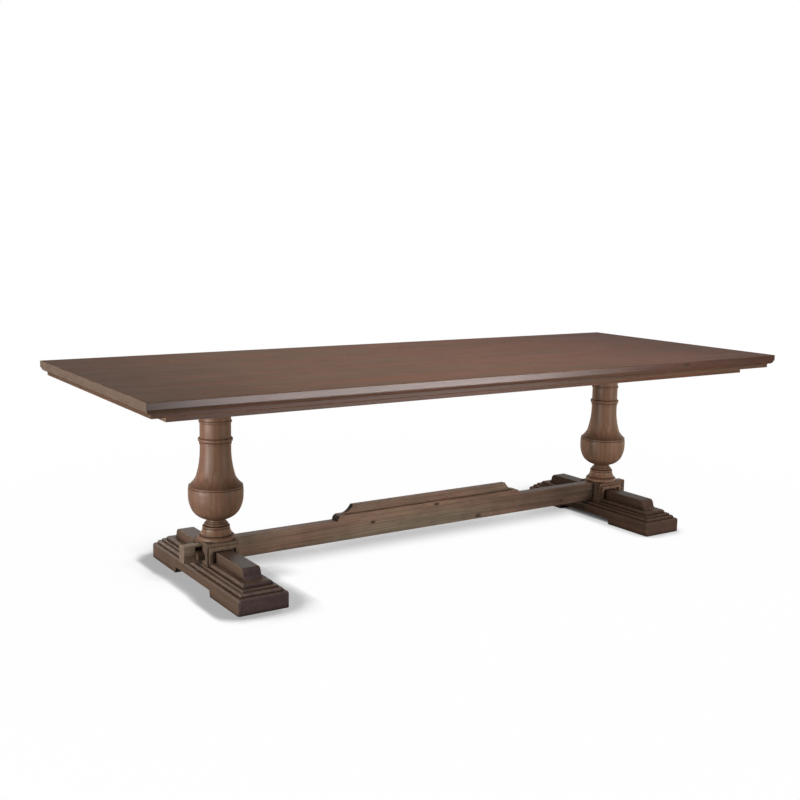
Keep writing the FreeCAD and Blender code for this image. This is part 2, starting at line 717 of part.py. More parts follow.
def stretcher(label):
    body = new_body(label, z="stretcher_rise")
    half, ease = "(stretcher_thickness / 2)", "stretcher_ease"
    section = new_sketch(body, "YZ_Plane")
    right = [(f"({half} - {ease})", "0"), (half, ease), (half, "stretcher_depth")]
    outline(section, right + [(f"-{y}", z) for y, z in reversed(right)])
    pad(body, section, f"2 * {SHOULDER_HALF}", symmetric=True)
    tenon = new_sketch(body, "YZ_Plane")
    rectangle(tenon, "-tenon_thickness / 2", "tenon_lift", "tenon_thickness / 2", "tenon_lift + tenon_height")
    pad(body, tenon, f"2 * {TENON_HALF_LENGTH}", symmetric=True)
    tip = size(TENON_HALF_LENGTH)
    dress(body, "Chamfer", "tenon_chamfer", lambda a, b: near(abs(a.x), tip) and near(abs(b.x), tip))
    mortises = new_sketch(body, "XZ_Plane")
    low = "(tenon_lift + mortise_lift)"
    for _, side in SIDES:
        inner = f"{side} * ({KEY_INNER} - key_clearance - key_draw)"
        outer = f"{side} * ({KEY_OUTER} + key_clearance)"
        rectangle(mortises, inner, low, outer, f"{low} + mortise_height")
    pocket(body, mortises)
    drill(body, CREST_SCREW_PLACES, "foot_screw_radius + hole_clearance", "stretcher_depth")
    drill(body, CREST_SCREW_PLACES, "foot_screw_head_radius + hole_clearance", "crest_screw_recess")


def crest_low(label):
    body = new_body(label, z=CREST_BOTTOM)
    shoulder = f"({CREST_LOW_HALF} - crest_nose)"
    right = [
        (CREST_LOW_HALF, "0"),
        (CREST_LOW_HALF, "crest_low_height - crest_nose"),
        (shoulder, "crest_low_height", -QUARTER_SHARE),
    ]
    left = [
        (f"-{shoulder}", "crest_low_height"),
        (f"-{CREST_LOW_HALF}", "crest_low_height - crest_nose", -QUARTER_SHARE),
        (f"-{CREST_LOW_HALF}", "0"),
    ]
    face = new_sketch(body, "XZ_Plane")
    outline(face, right + left)
    pad(body, face, "stretcher_thickness", symmetric=True)
    drill(body, CREST_SCREW_PLACES, "foot_screw_radius + hole_clearance", "crest_low_height")


HOLLOW_SHARE = 0.125


def crest_high(label):
    body = new_body(label, z=f"{CREST_BOTTOM} + crest_low_height")
    flare = f"({CREST_HIGH_HALF} + crest_high_flare)"
    face = new_sketch(body, "XZ_Plane")
    corners = [
        (flare, "0"),
        (CREST_HIGH_HALF, "crest_high_height", HOLLOW_SHARE),
        (f"-{CREST_HIGH_HALF}", "crest_high_height"),
        (f"-{flare}", "0", HOLLOW_SHARE),
    ]
    outline(face, corners)
    pad(body, face, "crest_high_thickness", symmetric=True)
    depth = "crest_screw_recess + crest_screw_length - stretcher_depth - crest_low_height + pilot_spare"
    drill(body, CREST_SCREW_PLACES, "foot_screw_radius + joint_clearance / 2", depth)


# A key is full height behind the tenon and tapers through it to a thin nose in front
def key(label, side):
    x = f"{side} * ({KEY_INNER} + {KEY_OUTER}) / 2"
    body = new_body(label, x=x, z=f"{TENON_BOTTOM} + mortise_lift + key_clearance")
    height = "(mortise_height - 2 * key_clearance)"
    nose, tail = "(-tenon_thickness / 2 - key_nose_reach)", "(tenon_thickness / 2 + key_tail)"
    corners = [
        (nose, "0"),
        (tail, "0"),
        (tail, height),
        ("tenon_thickness / 2", height),
        (nose, "key_nose_height"),
    ]
    section = new_sketch(body, "YZ_Plane")
    outline(section, corners)
    pad(body, section, "key_thickness", symmetric=True)
    ends = [size(nose), size(tail)]
    dress(body, "Chamfer", "key_chamfer", lambda a, b: near(a.y, b.y) and any(near(a.y, end) for end in ends))


# Splines and fasteners are groups of equal solids
def group(label, solids):
    feature = doc.addObject("Part::Feature", label)
    feature.Label = label
    feature.Shape = Part.makeCompound(solids)
    feature.Placement = FreeCAD.Placement()
    pieces.append(feature)


def placed(solid, places):
    return [solid.translated(FreeCAD.Vector(*(size(c) for c in place))) for place in places]


# A round solid from its outline of (radius, height) pairs, closed on the Z axis
def turned_solid(pairs):
    points = [FreeCAD.Vector(size(r), 0, size(z)) for r, z in pairs]
    face = Part.Face(Part.makePolygon([*points, points[0]]))
    return face.revolve(FreeCAD.Vector(), FreeCAD.Vector(0, 0, 1), 360)


# A screw that points up, with its head's underside at height zero
def screw(radius, head_radius, head_height, length):
    return turned_solid([
        ("0", f"-{head_height}"),
        (f"{head_radius} - {head_height} / 4", f"-{head_height}"),
        (head_radius, f"-{head_height} * 3 / 4"),
        (head_radius, "0"),
        (radius, "0"),
        (radius, f"{length} - 2 * {radius}"),
        ("0", length),
    ])


def hexagon(radius, height):
    corners = [FreeCAD.Vector(radius, 0, 0)]
    for n in range(1, 7):
        corners.append(FreeCAD.Rotation(FreeCAD.Vector(0, 0, 1), 60 * n).multVec(corners[0]))
    return Part.Face(Part.makePolygon(corners)).extrude(FreeCAD.Vector(0, 0, -height))


def washer(inner, outer, thickness):
    return turned_solid([(inner, f"-{thickness}"), (outer, f"-{thickness}"), (outer, "0"), (inner, "0")])


def splines():
    bar = Part.makeBox(size("table_length - 2 * spline_stop"), size("spline_width"), size("spline_thickness"))
    bar.translate(FreeCAD.Vector(-bar.BoundBox.XLength / 2, -bar.BoundBox.YLength / 2, 0))
    level = f"{BOARD_BOTTOM} + (board_thickness - spline_thickness) / 2"
    lines = [f"{board_line(n)} + {BOARD_WIDTH} / 2" for n in range(BOARD_COUNT - 1)]
    group("top_splines", placed(bar, [("0", line, level) for line in lines]))


def top_screws(rail_places):
    seat = "screw_head_height"
    wood_screw = screw("screw_radius", "screw_head_radius", "screw_head_height", f"(screw_length - {seat})")
    batten_level = f"{BOARD_BOTTOM} - batten_depth + {seat}"
    batten_places = [(x, board_line(n), batten_level) for _, x in BATTENS for n in INNER_BOARDS]
    group("batten_screws", placed(wood_screw, batten_places))
    rail_level = f"{BOARD_BOTTOM} - apron_depth + {seat}"
    group("apron_screws", placed(wood_screw, [(x, y, rail_level) for x, y in rail_places]))


def bearer_bolts():
    plane = f"({BOARD_BOTTOM} - bearer_end_depth)"
    seat = f"{plane} - washer_thickness"
    places = [(x, f"{side} * {BOLT_LINE}") for x in BOLT_LINES for side in (-1, 1)]
    reach = size("washer_thickness + bearer_end_depth + insert_length")
    bolt = hexagon(size("bolt_head_radius"), size("bolt_head_height")).fuse(
        Part.makeCylinder(size("bolt_radius"), reach))
    group("bearer_bolts", placed(bolt.removeSplitter(), [(*p, seat) for p in places]))
    ring = washer("bolt_radius + hole_clearance", "washer_radius", "washer_thickness")
    group("bearer_washers", placed(ring, [(*p, plane) for p in places]))
    sleeve = washer("bolt_radius + joint_clearance / 4", "insert_radius", "insert_length")
    group("bearer_inserts", placed(sleeve, [(*p, f"{BOARD_BOTTOM} + insert_length") for p in places]))


def trestle_screws():
    posts = [(f"{side} * {TRESTLE_HALF}", "0", "relief_height") for _, side in SIDES]
    coach = screw("post_screw_radius", "post_screw_head_radius", "post_screw_head_height",
                  "(post_screw_length + washer_thickness)")
    group("post_screws", placed(coach, [(x, y, f"{z} - washer_thickness") for x, y, z in posts]))
    ring = washer("post_screw_radius + hole_clearance", "washer_radius", "washer_thickness")
    group("post_washers", placed(ring, posts))
    foot = screw("foot_screw_radius", "foot_screw_head_radius", "foot_screw_head_height", "foot_screw_length")
    places = [(f"{side} * {TRESTLE_HALF}", y, "relief_height") for _, side in SIDES for y in FOOT_SCREW_LINES]
    group("foot_screws", placed(foot, places))
    crest = screw("foot_screw_radius", "foot_screw_head_radius", "foot_screw_head_height",
                  "crest_screw_length")
    level = "stretcher_rise + crest_screw_recess"
    group("crest_screws", placed(crest, [(x, y, level) for x, y in CREST_SCREW_PLACES]))


for number in range(BOARD_COUNT):
    top_board(number)
splines()
all_rail_places = []
RAILS = (("front", True, -1), ("back", True, 1), ("left", False, -1), ("right", False, 1))
for label, along_x, side in RAILS:
    edge_strip(f"edge_strip_{label}", along_x, side)
    if along_x:
        rail_places = [(x, f"{side} * {RAIL_LINE}") for x in RAIL_SCREW_LINES]
    else:
        rail_places = [(f"{side} * {RAIL_LINE_LONG}", board_line(n)) for n in INNER_BOARDS]
    apron_rail(f"apron_{label}", along_x, side, rail_places)
    all_rail_places.extend(rail_places)
for row, side_y in (("front", -1), ("back", 1)):
    for hand, side_x in SIDES:
        corner_block(f"corner_block_{row}_{hand}", side_x, side_y)
for label, line in BATTENS:
    cross_batten(f"batten_{label}", line)
top_screws(all_rail_places)
for hand, side in SIDES:
    bearer(f"bearer_{hand}", side)
    column(f"column_{hand}", side)
    plinth(f"plinth_{hand}", side)
    foot_base(f"foot_base_{hand}", side)
    foot_moulding(f"foot_moulding_{hand}", side)
    foot_ridge(f"foot_ridge_front_{hand}", side, 0)
    foot_ridge(f"foot_ridge_back_{hand}", side, 180)
    key(f"key_{hand}", side)
stretcher("stretcher")
crest_low("crest_low")
crest_high("crest_high")
bearer_bolts()
trestle_screws()

doc.recompute()
faults = []
for thing in doc.Objects:
    if {"Invalid", "Error"} & set(thing.State):
        faults.append(f"{thing.Label}: {thing.State}")
    elif thing.TypeId == "PartDesign::Pocket":
        if thing.Shape.isNull():
            faults.append(f"{thing.Label}: empty")
        elif thing.Shape.Volume >= thing.BaseFeature.Shape.Volume:
            faults.append(f"{thing.Label}: cuts nothing")
for piece in pieces:
    if piece.Shape.isNull() or not piece.Shape.isValid():
        faults.append(f"{piece.Label}: no valid shape")
    elif piece.TypeId == "PartDesign::Body" and len(piece.Shape.Solids) != 1:
        faults.append(f"{piece.Label}: {len(piece.Shape.Solids)} solids")
if faults:
    raise RuntimeError("; ".join(faults))
os.makedirs("parts", exist_ok=True)
for piece in pieces:
    piece.Shape.exportStep(f"parts/{piece.Label}.step")
print(f"{len(pieces)} nodes written")
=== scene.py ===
import json
import math

import bmesh
import bpy
from mathutils import Matrix, Vector

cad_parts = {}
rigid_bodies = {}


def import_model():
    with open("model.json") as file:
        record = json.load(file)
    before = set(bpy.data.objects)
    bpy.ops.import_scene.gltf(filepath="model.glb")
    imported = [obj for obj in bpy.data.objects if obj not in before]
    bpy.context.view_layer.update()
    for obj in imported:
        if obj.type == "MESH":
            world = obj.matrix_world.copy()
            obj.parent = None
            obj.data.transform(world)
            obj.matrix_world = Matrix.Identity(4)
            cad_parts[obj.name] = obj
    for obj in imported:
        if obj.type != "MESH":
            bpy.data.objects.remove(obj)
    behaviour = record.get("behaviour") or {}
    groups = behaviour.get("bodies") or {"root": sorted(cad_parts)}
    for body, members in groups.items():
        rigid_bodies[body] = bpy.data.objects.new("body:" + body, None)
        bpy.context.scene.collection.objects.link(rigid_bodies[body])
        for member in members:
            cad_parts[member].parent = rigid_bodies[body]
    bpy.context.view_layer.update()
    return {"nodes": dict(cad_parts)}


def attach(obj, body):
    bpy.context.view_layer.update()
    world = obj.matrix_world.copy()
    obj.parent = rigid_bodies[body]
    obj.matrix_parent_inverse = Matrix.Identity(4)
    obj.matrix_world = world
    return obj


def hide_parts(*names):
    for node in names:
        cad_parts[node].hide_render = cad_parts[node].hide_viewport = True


for leftover in list(bpy.data.objects):  # the start-up cube, lamp and camera
    bpy.data.objects.remove(leftover)
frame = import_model()
cadNodes = frame["nodes"]
scene = bpy.context.scene
print(f"frame loaded, {len(cadNodes)} CAD nodes")


def paint(red, green, blue):  # a colour as a screen shows it, 0 to 255
    shares = [c / 255 for c in (red, green, blue)]
    return (*[s / 12.92 if s <= 0.04045 else ((s + 0.055) / 1.055) ** 2.4 for s in shares], 1.0)


def stepped(start, step, count):  # moves a pattern on, so that no two pieces share it
    return [s + count * d for s, d in zip(start, step)]


# Small helpers for the node trees

def put(tree, kind, inputs=None, **settings):
    node = tree.nodes.new(kind)
    for name, value in settings.items():
        setattr(node, name, value)
    for name, value in (inputs or {}).items():
        if isinstance(value, bpy.types.NodeSocket):
            tree.links.new(value, node.inputs[name])
        else:
            node.inputs[name].default_value = value
    return node


def math2(tree, operation, first, second):
    return put(tree, "ShaderNodeMath", {0: first, 1: second}, operation=operation).outputs[0]


def times(tree, first, second):
    return math2(tree, "MULTIPLY", first, second)


def plus(tree, first, second):
    return math2(tree, "ADD", first, second)


def vector2(tree, operation, first, second):
    return put(tree, "ShaderNodeVectorMath", {0: first, 1: second}, operation=operation).outputs[0]


def spread(tree, value, fromLow, fromHigh, toLow, toHigh):  # smooth step between two levels
    return put(tree, "ShaderNodeMapRange", {
        "Value": value, "From Min": fromLow, "From Max": fromHigh, "To Min": toLow, "To Max": toHigh,
    }, interpolation_type="SMOOTHSTEP").outputs["Result"]


def mixed(tree, share, first, second):  # two colours
    return put(tree, "ShaderNodeMix", {0: share, 6: first, 7: second}, data_type="RGBA").outputs[2]


def toned(tree, colour, level):  # a colour made lighter or darker
    return put(tree, "ShaderNodeVectorMath", {0: colour, "Scale": level}, operation="SCALE").outputs[0]


def mapped(tree, place, scale=(1, 1, 1), shift=(0, 0, 0), turn=(0, 0, 0)):
    return put(tree, "ShaderNodeMapping", {
        "Vector": place, "Scale": scale, "Location": shift, "Rotation": turn}).outputs[0]


def clouds(tree, place, stretch, scale, detail, roughness):
    return put(tree, "ShaderNodeTexNoise", {
        "Vector": mapped(tree, place, stretch), "Scale": scale, "Detail": detail, "Roughness": roughness,
    }).outputs["Fac"]


def bareMaterial(name):
    material = bpy.data.materials.new(name)
    material.use_nodes = True
    material.node_tree.nodes.clear()
    return material, material.node_tree


# Stained wood. Object space is turned so that the grain runs along the first axis.

grainTurn = {"x": (0, 0, 0), "y": (0, 0, -math.pi / 2), "z": (0, math.pi / 2, 0)}
grainAxis = {"x": (1, 0, 0), "y": (0, 1, 0), "z": (0, 0, 1)}

grainSet = {
    "hue": ((0.09, 1, 1), 13.0, 2.0, 0.5),  # each pattern's stretch along the grain, scale, detail, roughness
    "bands": ((0.035, 1, 1), 60.0, 3.0, 0.6),
    "fibre": ((0.012, 1, 1), 420.0, 2.0, 0.5),
    "pores": ((0.03, 1, 1), 1150.0, 1.0, 0.5),
    "mottle": ((1, 1, 1), 8.0, 3.0, 0.55),
    "rubbing": ((1, 1, 1), 38.0, 3.0, 0.5),
    "trunk": {"scale": (0.05, 1, 1), "shift": (0, -0.045, 0.075), "turn": (0.1, 0.12, 0.16)},
    "rings": {"Detail": 2.0, "Detail Scale": 0.55, "Detail Roughness": 0.55},
    "lateWood": (0.45, 1.0), "openPore": (0.6, 0.72), "bandRange": (0.25, 0.75), "fibreRange": (0.2, 0.8),
    "mottleRange": (0.3, 0.7), "endsRange": (0.65, 1.42), "rightRange": (-0.1, 0.8),
    "staveTurn": (0.5, 0, 0), "staveJump": 0.7, "staveTones": (0.88, 1.1),
    "knotCore": (0.2, 1.1), "knotRipple": (0.3, 4.5), "knotBend": 9.0, "knotShare": 0.9,
    "knotWaver": 0.5, "waverScale": 1.7, "waverDetail": 1.0,
    "endWidth": 0.5, "endRings": 0.12, "upright": (0.25, 0.8), "topFacing": (0.6, 0.95),
    "leftFacing": (-0.9, -0.5), "hollow": (0.52, 0.9), "hollowSamples": 6, "rubbedAndLit": (0.35, 0.6),
    "leastRubbed": 0.25,
    "glossRange": (0.3, 0.7), "glossSpread": (-0.05, 0.06), "poreGloss": 0.15, "endGloss": 0.12,
    "fibreRelief": 0.8, "ringRelief": 0.35, "reliefDepth": 0.0005,
}

# The stains' levels for the ends, the sides, the right, the left and the upward faces are painted shade and
# light, not stain
topStain = {
    "red": paint(114, 75, 59), "olive": paint(100, 75, 58), "dark": paint(60, 42, 34),
    # the end colour is painted lighter, as lit; the hollow colour is painted shade, partly glaze; the worn
    # colour is partly a painted highlight
    "wornAndLit": paint(128, 100, 85), "glazeAndShadeColour": paint(42, 29, 24), "end": paint(125, 105, 89),
    "endShare": 0.8, "endFrom": 0.45, "sharedHue": True, "hueSoftness": 0.16, "redDrift": 0.11,
    "endsShade": 0.64, "sideShade": 0.7, "leftShade": 1.0, "rightShade": 0.81, "topLight": 1.0,
    "ringGap": 0.012, "ringDepth": 0.07, "bend": 6.0, "fibre": 0.08, "pore": 0.35, "mottle": 0.13,
    "glazeAndShade": 0.5, "hollowReach": 0.010, "wearAndHighlight": 0.3, "roughness": 0.5, "specular": 0.02,
    "coat": 0.0, "sideCoat": 0.25, "coatRoughness": 0.3, "bump": 0.3,
}
edgeStain = dict(
    topStain, red=paint(118, 80, 62), olive=paint(107, 83, 65), glazeAndShade=0.7, wearAndHighlight=0.5, mottle=0.12,
    ringDepth=0.14, redDrift=0.0, hueSoftness=0.2, sharedHue=False, rightShade=1.0, endsShade=0.85,
    sideShade=0.8, sideCoat=0.05)
plainStain = dict(edgeStain, endsShade=1.0, sideShade=1.0, sideCoat=0.0)
turnedStain = dict(
    plainStain, red=paint(126, 91, 73), olive=paint(115, 92, 71), end=paint(84, 58, 44), endShare=0.6,
    ringGap=0.02, ringDepth=0.2, roughness=0.43, specular=0.13, hollowReach=0.014)
# the far column's copy is painted lighter, as lit, not another stain
litFarTurnedStain = dict(turnedStain, red=paint(140, 103, 83), olive=paint(129, 104, 80))
footStain = dict(
    plainStain, red=paint(90, 72, 60), olive=paint(86, 72, 60), dark=paint(50, 37, 32),
    wornAndLit=paint(128, 109, 96), end=paint(76, 62, 63), endShare=0.9, endFrom=0.25, glazeAndShade=0.8,
    mottle=0.16, roughness=0.46, specular=0.05, hollowReach=0.022, coat=0.34, topLight=1.35)
# the far foot's copy is painted darker, as shaded, not another stain
shadedFarFootStain = dict(
    footStain, red=paint(76, 56, 46), olive=paint(70, 55, 45), wornAndLit=paint(90, 71, 59),
    end=paint(79, 61, 52), topLight=1.5, sideShade=0.78, coat=0.12)
blockStain = dict(
    footStain, red=paint(134, 111, 94), olive=paint(128, 110, 93), end=paint(108, 91, 77), endShare=0.5,
    endFrom=0.45, glazeAndShade=0.17, hollowReach=0.011, coat=0.1, topLight=1.0, leftShade=0.43)
# the far plinth's copy is painted darker, as shaded, not another stain
shadedFarBlockStain = dict(
    blockStain, red=paint(134, 104, 86), olive=paint(125, 102, 84), end=paint(98, 78, 66), glazeAndShade=0.4,
    leftShade=0.36)
keyStain = dict(
    blockStain, red=paint(90, 72, 58), olive=paint(85, 71, 58), end=paint(78, 64, 54), leftShade=0.8)
railStain = dict(
    footStain, red=paint(148, 117, 99), olive=paint(133, 118, 100), dark=paint(62, 45, 37),
    end=paint(102, 85, 73), endShare=0.7, endFrom=0.45, redDrift=0.12, hueSoftness=0.16, rightShade=0.38,
    topLight=1.7, ringDepth=0.18, bend=9.0, mottle=0.24, wearAndHighlight=0.4, glazeAndShade=0.6, specular=0.08,
    hollowReach=0.010, coat=0.1)
# the crest's ends are painted dark, as shaded
crestStain = dict(railStain, rightShade=0.7, end=paint(40, 30, 27), endShare=0.9, endFrom=0.2, wearAndHighlight=0.3)
innerStain = dict(
    plainStain, red=paint(118, 98, 80), olive=paint(110, 96, 78), roughness=0.6, glazeAndShade=0.6)


def knotMasks(tree, place, knots):  # (x, z, half length, half height) of each knot through the plank
    core, ripple = 0.0, 0.0
    waver = grainSet["knotWaver"]
    for x, z, halfLength, halfHeight in knots:
        scale = (1 / halfLength, 0, 1 / halfHeight)
        offset = mapped(tree, place, scale, (-x * scale[0], 0, -z * scale[2]))
        uneven = put(tree, "ShaderNodeTexNoise", {
            "Vector": offset, "Scale": grainSet["waverScale"], "Detail": grainSet["waverDetail"]})
        wobble = put(tree, "ShaderNodeVectorMath", {
            0: uneven.outputs["Color"], 1: (waver, waver, waver), 2: offset}, operation="MULTIPLY_ADD")
        centred = vector2(tree, "SUBTRACT", wobble.outputs[0], (waver / 2, waver / 2, waver / 2))
        away = put(tree, "ShaderNodeVectorMath", {0: centred}, operation="LENGTH").outputs["Value"]
        core = math2(tree, "MAXIMUM", core, spread(tree, away, *grainSet["knotCore"], 1.0, 0.0))
        ripple = plus(tree, ripple, spread(tree, away, *grainSet["knotRipple"], 1.0, 0.0))
    return core, ripple


def stainedWood(name, stain, grain, shift, knots=(), staves=0.0):
    material, tree = bareMaterial(name)
    place = put(tree, "ShaderNodeTexCoord").outputs["Object"]
    plank = mapped(tree, place, turn=grainTurn[grain])
    along = mapped(tree, plank, shift=shift)
    if staves:  # a blank glued up from staves, each from another plank
        slices = mapped(tree, along, scale=(0, 1 / staves, 1 / staves), turn=grainSet["staveTurn"])
        flat = put(tree, "ShaderNodeSeparateXYZ", {0: slices}).outputs["Y"]
        number = math2(tree, "FLOOR", flat, 0.0)
        chance = put(tree, "ShaderNodeTexWhiteNoise", {"W": number}, noise_dimensions="1D")
        along = vector2(tree, "ADD", along, toned(tree, chance.outputs["Color"], grainSet["staveJump"]))
    core, ripple = knotMasks(tree, place, knots)

    # Growth rings round a pith that lies off the piece and leans a little
    trunk = mapped(tree, along, **grainSet["trunk"])
    closeness = math.pi / (10 * stain["ringGap"])  # at scale 1 a ring is pi / 10 wide
    rings = put(tree, "ShaderNodeTexWave", {
        "Vector": trunk, "Scale": closeness, "Distortion": stain["bend"],
        "Phase Offset": times(tree, ripple, grainSet["knotBend"]), **grainSet["rings"],
    }, wave_type="RINGS", rings_direction="X", wave_profile="SAW").outputs["Fac"]
    lateWood = spread(tree, rings, *grainSet["lateWood"], 0.0, 1.0)
    broad = clouds(tree, plank if stain["sharedHue"] else along, *grainSet["hue"])
    bands, fibre, pores, mottle = (
        clouds(tree, along, *grainSet[pattern]) for pattern in ("bands", "fibre", "pores", "mottle"))
    poreMask = spread(tree, pores, *grainSet["openPore"], 0.0, 1.0)

    fromMiddle = put(tree, "ShaderNodeSeparateXYZ", {0: place}).outputs["X"]
    fromCentre = math2(tree, "ABSOLUTE", fromMiddle, 0.0)
    reddened = plus(tree, broad, times(tree, fromMiddle, stain["redDrift"]))
    soft = stain["hueSoftness"]
    hue = spread(tree, reddened, 0.5 - soft, 0.5 + soft, 0.0, 1.0)
    colour = mixed(tree, hue, stain["olive"], stain["red"])
    colour = mixed(tree, times(tree, lateWood, stain["ringDepth"]), colour, stain["dark"])

    # Light and dark along and across the piece: grain and mottle, and painted shade towards both ends and
    # towards the right
    streak, grainy, patchy = stain["mottle"], stain["fibre"], stain["mottle"] / 2
    levels = [
        spread(tree, bands, *grainSet["bandRange"], 1 - streak, 1 + streak),
        spread(tree, fibre, *grainSet["fibreRange"], 1 - grainy, 1 + grainy),
        spread(tree, mottle, *grainSet["mottleRange"], 1 - patchy, 1 + patchy),
        spread(tree, fromCentre, *grainSet["endsRange"], 1.0, stain["endsShade"]),
        spread(tree, fromMiddle, *grainSet["rightRange"], 1.0, stain["rightShade"]),
    ]
    if staves:
        levels.append(spread(tree, chance.outputs["Value"], 0.0, 1.0, *grainSet["staveTones"]))
    level = levels[0]
    for change in levels[1:]:
        level = times(tree, level, change)
    colour = toned(tree, colour, level)
    colour = mixed(tree, times(tree, poreMask, stain["pore"]), colour, stain["dark"])
    colour = mixed(tree, times(tree, core, grainSet["knotShare"]), colour, stain["dark"])

    # End grain drinks more stain; the top's end colour is painted lighter, as lit, and the crest's ends
    # painted darker, as shaded
    facing = put(tree, "ShaderNodeNewGeometry").outputs["Normal"]
    across = put(tree, "ShaderNodeVectorMath", {0: facing, 1: grainAxis[grain]}, operation="DOT_PRODUCT")
    squareOn = math2(tree, "ABSOLUTE", across.outputs["Value"], 0.0)
    endFace = spread(tree, squareOn, stain["endFrom"], stain["endFrom"] + grainSet["endWidth"], 0.0, 1.0)
    endRings = times(tree, lateWood, grainSet["endRings"])
    endTone = toned(tree, mixed(tree, endRings, stain["end"], stain["dark"]), level)
    colour = mixed(tree, times(tree, endFace, stain["endShare"]), colour, endTone)

    # Painted light and shade: faces that look up are painted lighter, and faces that look sideways or left
    # darker, as the lamps light them
    outward = put(tree, "ShaderNodeSeparateXYZ", {0: facing}).outputs
    upright = spread(tree, math2(tree, "ABSOLUTE", outward["Z"], 0.0), *grainSet["upright"], 1.0, 0.0)
    plainSide = times(tree, upright, math2(tree, "SUBTRACT", 1.0, endFace))
    colour = toned(tree, colour, spread(tree, plainSide, 0.0, 1.0, 1.0, stain["sideShade"]))
    colour = toned(tree, colour, spread(tree, outward["Z"], *grainSet["topFacing"], 1.0, stain["topLight"]))
    colour = toned(tree, colour, spread(tree, outward["X"], *grainSet["leftFacing"], stain["leftShade"], 1.0))

    # Painted shade in hollows and joints, from the occlusion there, partly glaze left in them; edges rubbed
    # lighter, partly a painted highlight on the arrises
    clear = put(tree, "ShaderNodeAmbientOcclusion", {"Distance": stain["hollowReach"]},
                samples=grainSet["hollowSamples"]).outputs["AO"]
    hollow = times(tree, spread(tree, clear, *grainSet["hollow"], 1.0, 0.0), stain["glazeAndShade"])
    colour = mixed(tree, hollow, colour, stain["glazeAndShadeColour"])
    edge = put(tree, "ShaderNodeAttribute", attribute_name="wornAndLitEdge").outputs["Fac"]
    rubbing = clouds(tree, along, *grainSet["rubbing"])
    rubbedAndLit = times(tree, edge, spread(tree, rubbing, *grainSet["rubbedAndLit"], grainSet["leastRubbed"], 1.0))
    colour = mixed(tree, times(tree, rubbedAndLit, stain["wearAndHighlight"]), colour, stain["wornAndLit"])

    smoothest, roughest = (stain["roughness"] + change for change in grainSet["glossSpread"])
    gloss = spread(tree, bands, *grainSet["glossRange"], smoothest, roughest)
    gloss = plus(tree, gloss, times(tree, poreMask, grainSet["poreGloss"]))
    gloss = plus(tree, gloss, times(tree, endFace, grainSet["endGloss"]))
    relief = math2(tree, "SUBTRACT", times(tree, fibre, grainSet["fibreRelief"]), poreMask)
    relief = plus(tree, relief, times(tree, lateWood, grainSet["ringRelief"]))
    skin = put(tree, "ShaderNodeBump", {
        "Height": relief, "Strength": stain["bump"], "Distance": grainSet["reliefDepth"]})
    body = put(tree, "ShaderNodeBsdfPrincipled", {
        "Base Color": colour, "Roughness": gloss, "Normal": skin.outputs["Normal"],
        "Specular IOR Level": stain["specular"], "Coat Roughness": stain["coatRoughness"]})
    if stain["coat"] or stain["sideCoat"]:
        lacquer = spread(tree, upright, 0.0, 1.0, stain["coat"], stain["sideCoat"])
        tree.links.new(lacquer, body.inputs["Coat Weight"])
    put(tree, "ShaderNodeOutputMaterial", {"Surface": body.outputs["BSDF"]})
    return material


metalSet = {
    "tarnish": ((1, 1, 1), 90.0, 4.0, 0.6),  # stretch, scale, detail, roughness
    "brushing": ((1, 1, 9), 700.0, 2.0, 0.5),
    "tarnishRange": (0.42, 0.7), "glossRange": (0.3, 0.7), "glossSpread": (-0.06, 0.08), "tarnishGloss": 0.2,
    "bump": 0.2, "reliefDepth": 0.0001,
}


def metal(name, colour, dull, roughness):
    material, tree = bareMaterial(name)
    place = put(tree, "ShaderNodeTexCoord").outputs["Object"]
    tarnish = spread(tree, clouds(tree, place, *metalSet["tarnish"]), *metalSet["tarnishRange"], 0.0, 1.0)
    brushed = clouds(tree, place, *metalSet["brushing"])
    smoothest, roughest = (roughness + change for change in metalSet["glossSpread"])
    gloss = plus(tree, spread(tree, brushed, *metalSet["glossRange"], smoothest, roughest),
                 times(tree, tarnish, metalSet["tarnishGloss"]))
    skin = put(tree, "ShaderNodeBump", {
        "Height": brushed, "Strength": metalSet["bump"], "Distance": metalSet["reliefDepth"]})
    body = put(tree, "ShaderNodeBsdfPrincipled", {
        "Base Color": mixed(tree, tarnish, colour, dull), "Roughness": gloss,
        "Normal": skin.outputs["Normal"], "Metallic": 1.0})
    put(tree, "ShaderNodeOutputMaterial", {"Surface": body.outputs["BSDF"]})
    return material


# Pieces cut from the CAD solids, with their sharp edges eased and marked for rubbing, partly a painted
# highlight

easing = {
    "mergeGap": 0.00001, "flatAngle": math.radians(0.6), "sharpAngle": math.radians(28), "steps": 2,
    "profile": 0.6, "noseWearAndHighlight": 0.8, "noseRadius": 0.0085, "roundRadius": 0.1, "screwReach": 0.014,
}
screwNodes = ["batten_screws", "apron_screws", "foot_screws", "crest_screws", "post_screws", "bearer_bolts"]


def mergedCopy(nodeName):
    shape = bmesh.new()
    shape.from_mesh(cadNodes[nodeName].data)
    bmesh.ops.remove_doubles(shape, verts=shape.verts, dist=easing["mergeGap"])
    return shape


def solidBoxes(nodeName):  # lowest and highest corner of each loose solid in a node
    shape = mergedCopy(nodeName)
    boxes, seen = [], set()
    for start in shape.verts:
        if start in seen:
            continue
        island, queue = [], [start]
        seen.add(start)
        while queue:
            vert = queue.pop()
            island.append(vert.co.copy())
            for edge in vert.link_edges:
                other = edge.other_vert(vert)
                if other not in seen:
                    seen.add(other)
                    queue.append(other)
        boxes.append((Vector([min(c[n] for c in island) for n in range(3)]),
                      Vector([max(c[n] for c in island) for n in range(3)])))
    shape.free()
    return sorted(boxes, key=lambda b: tuple(b[0]))


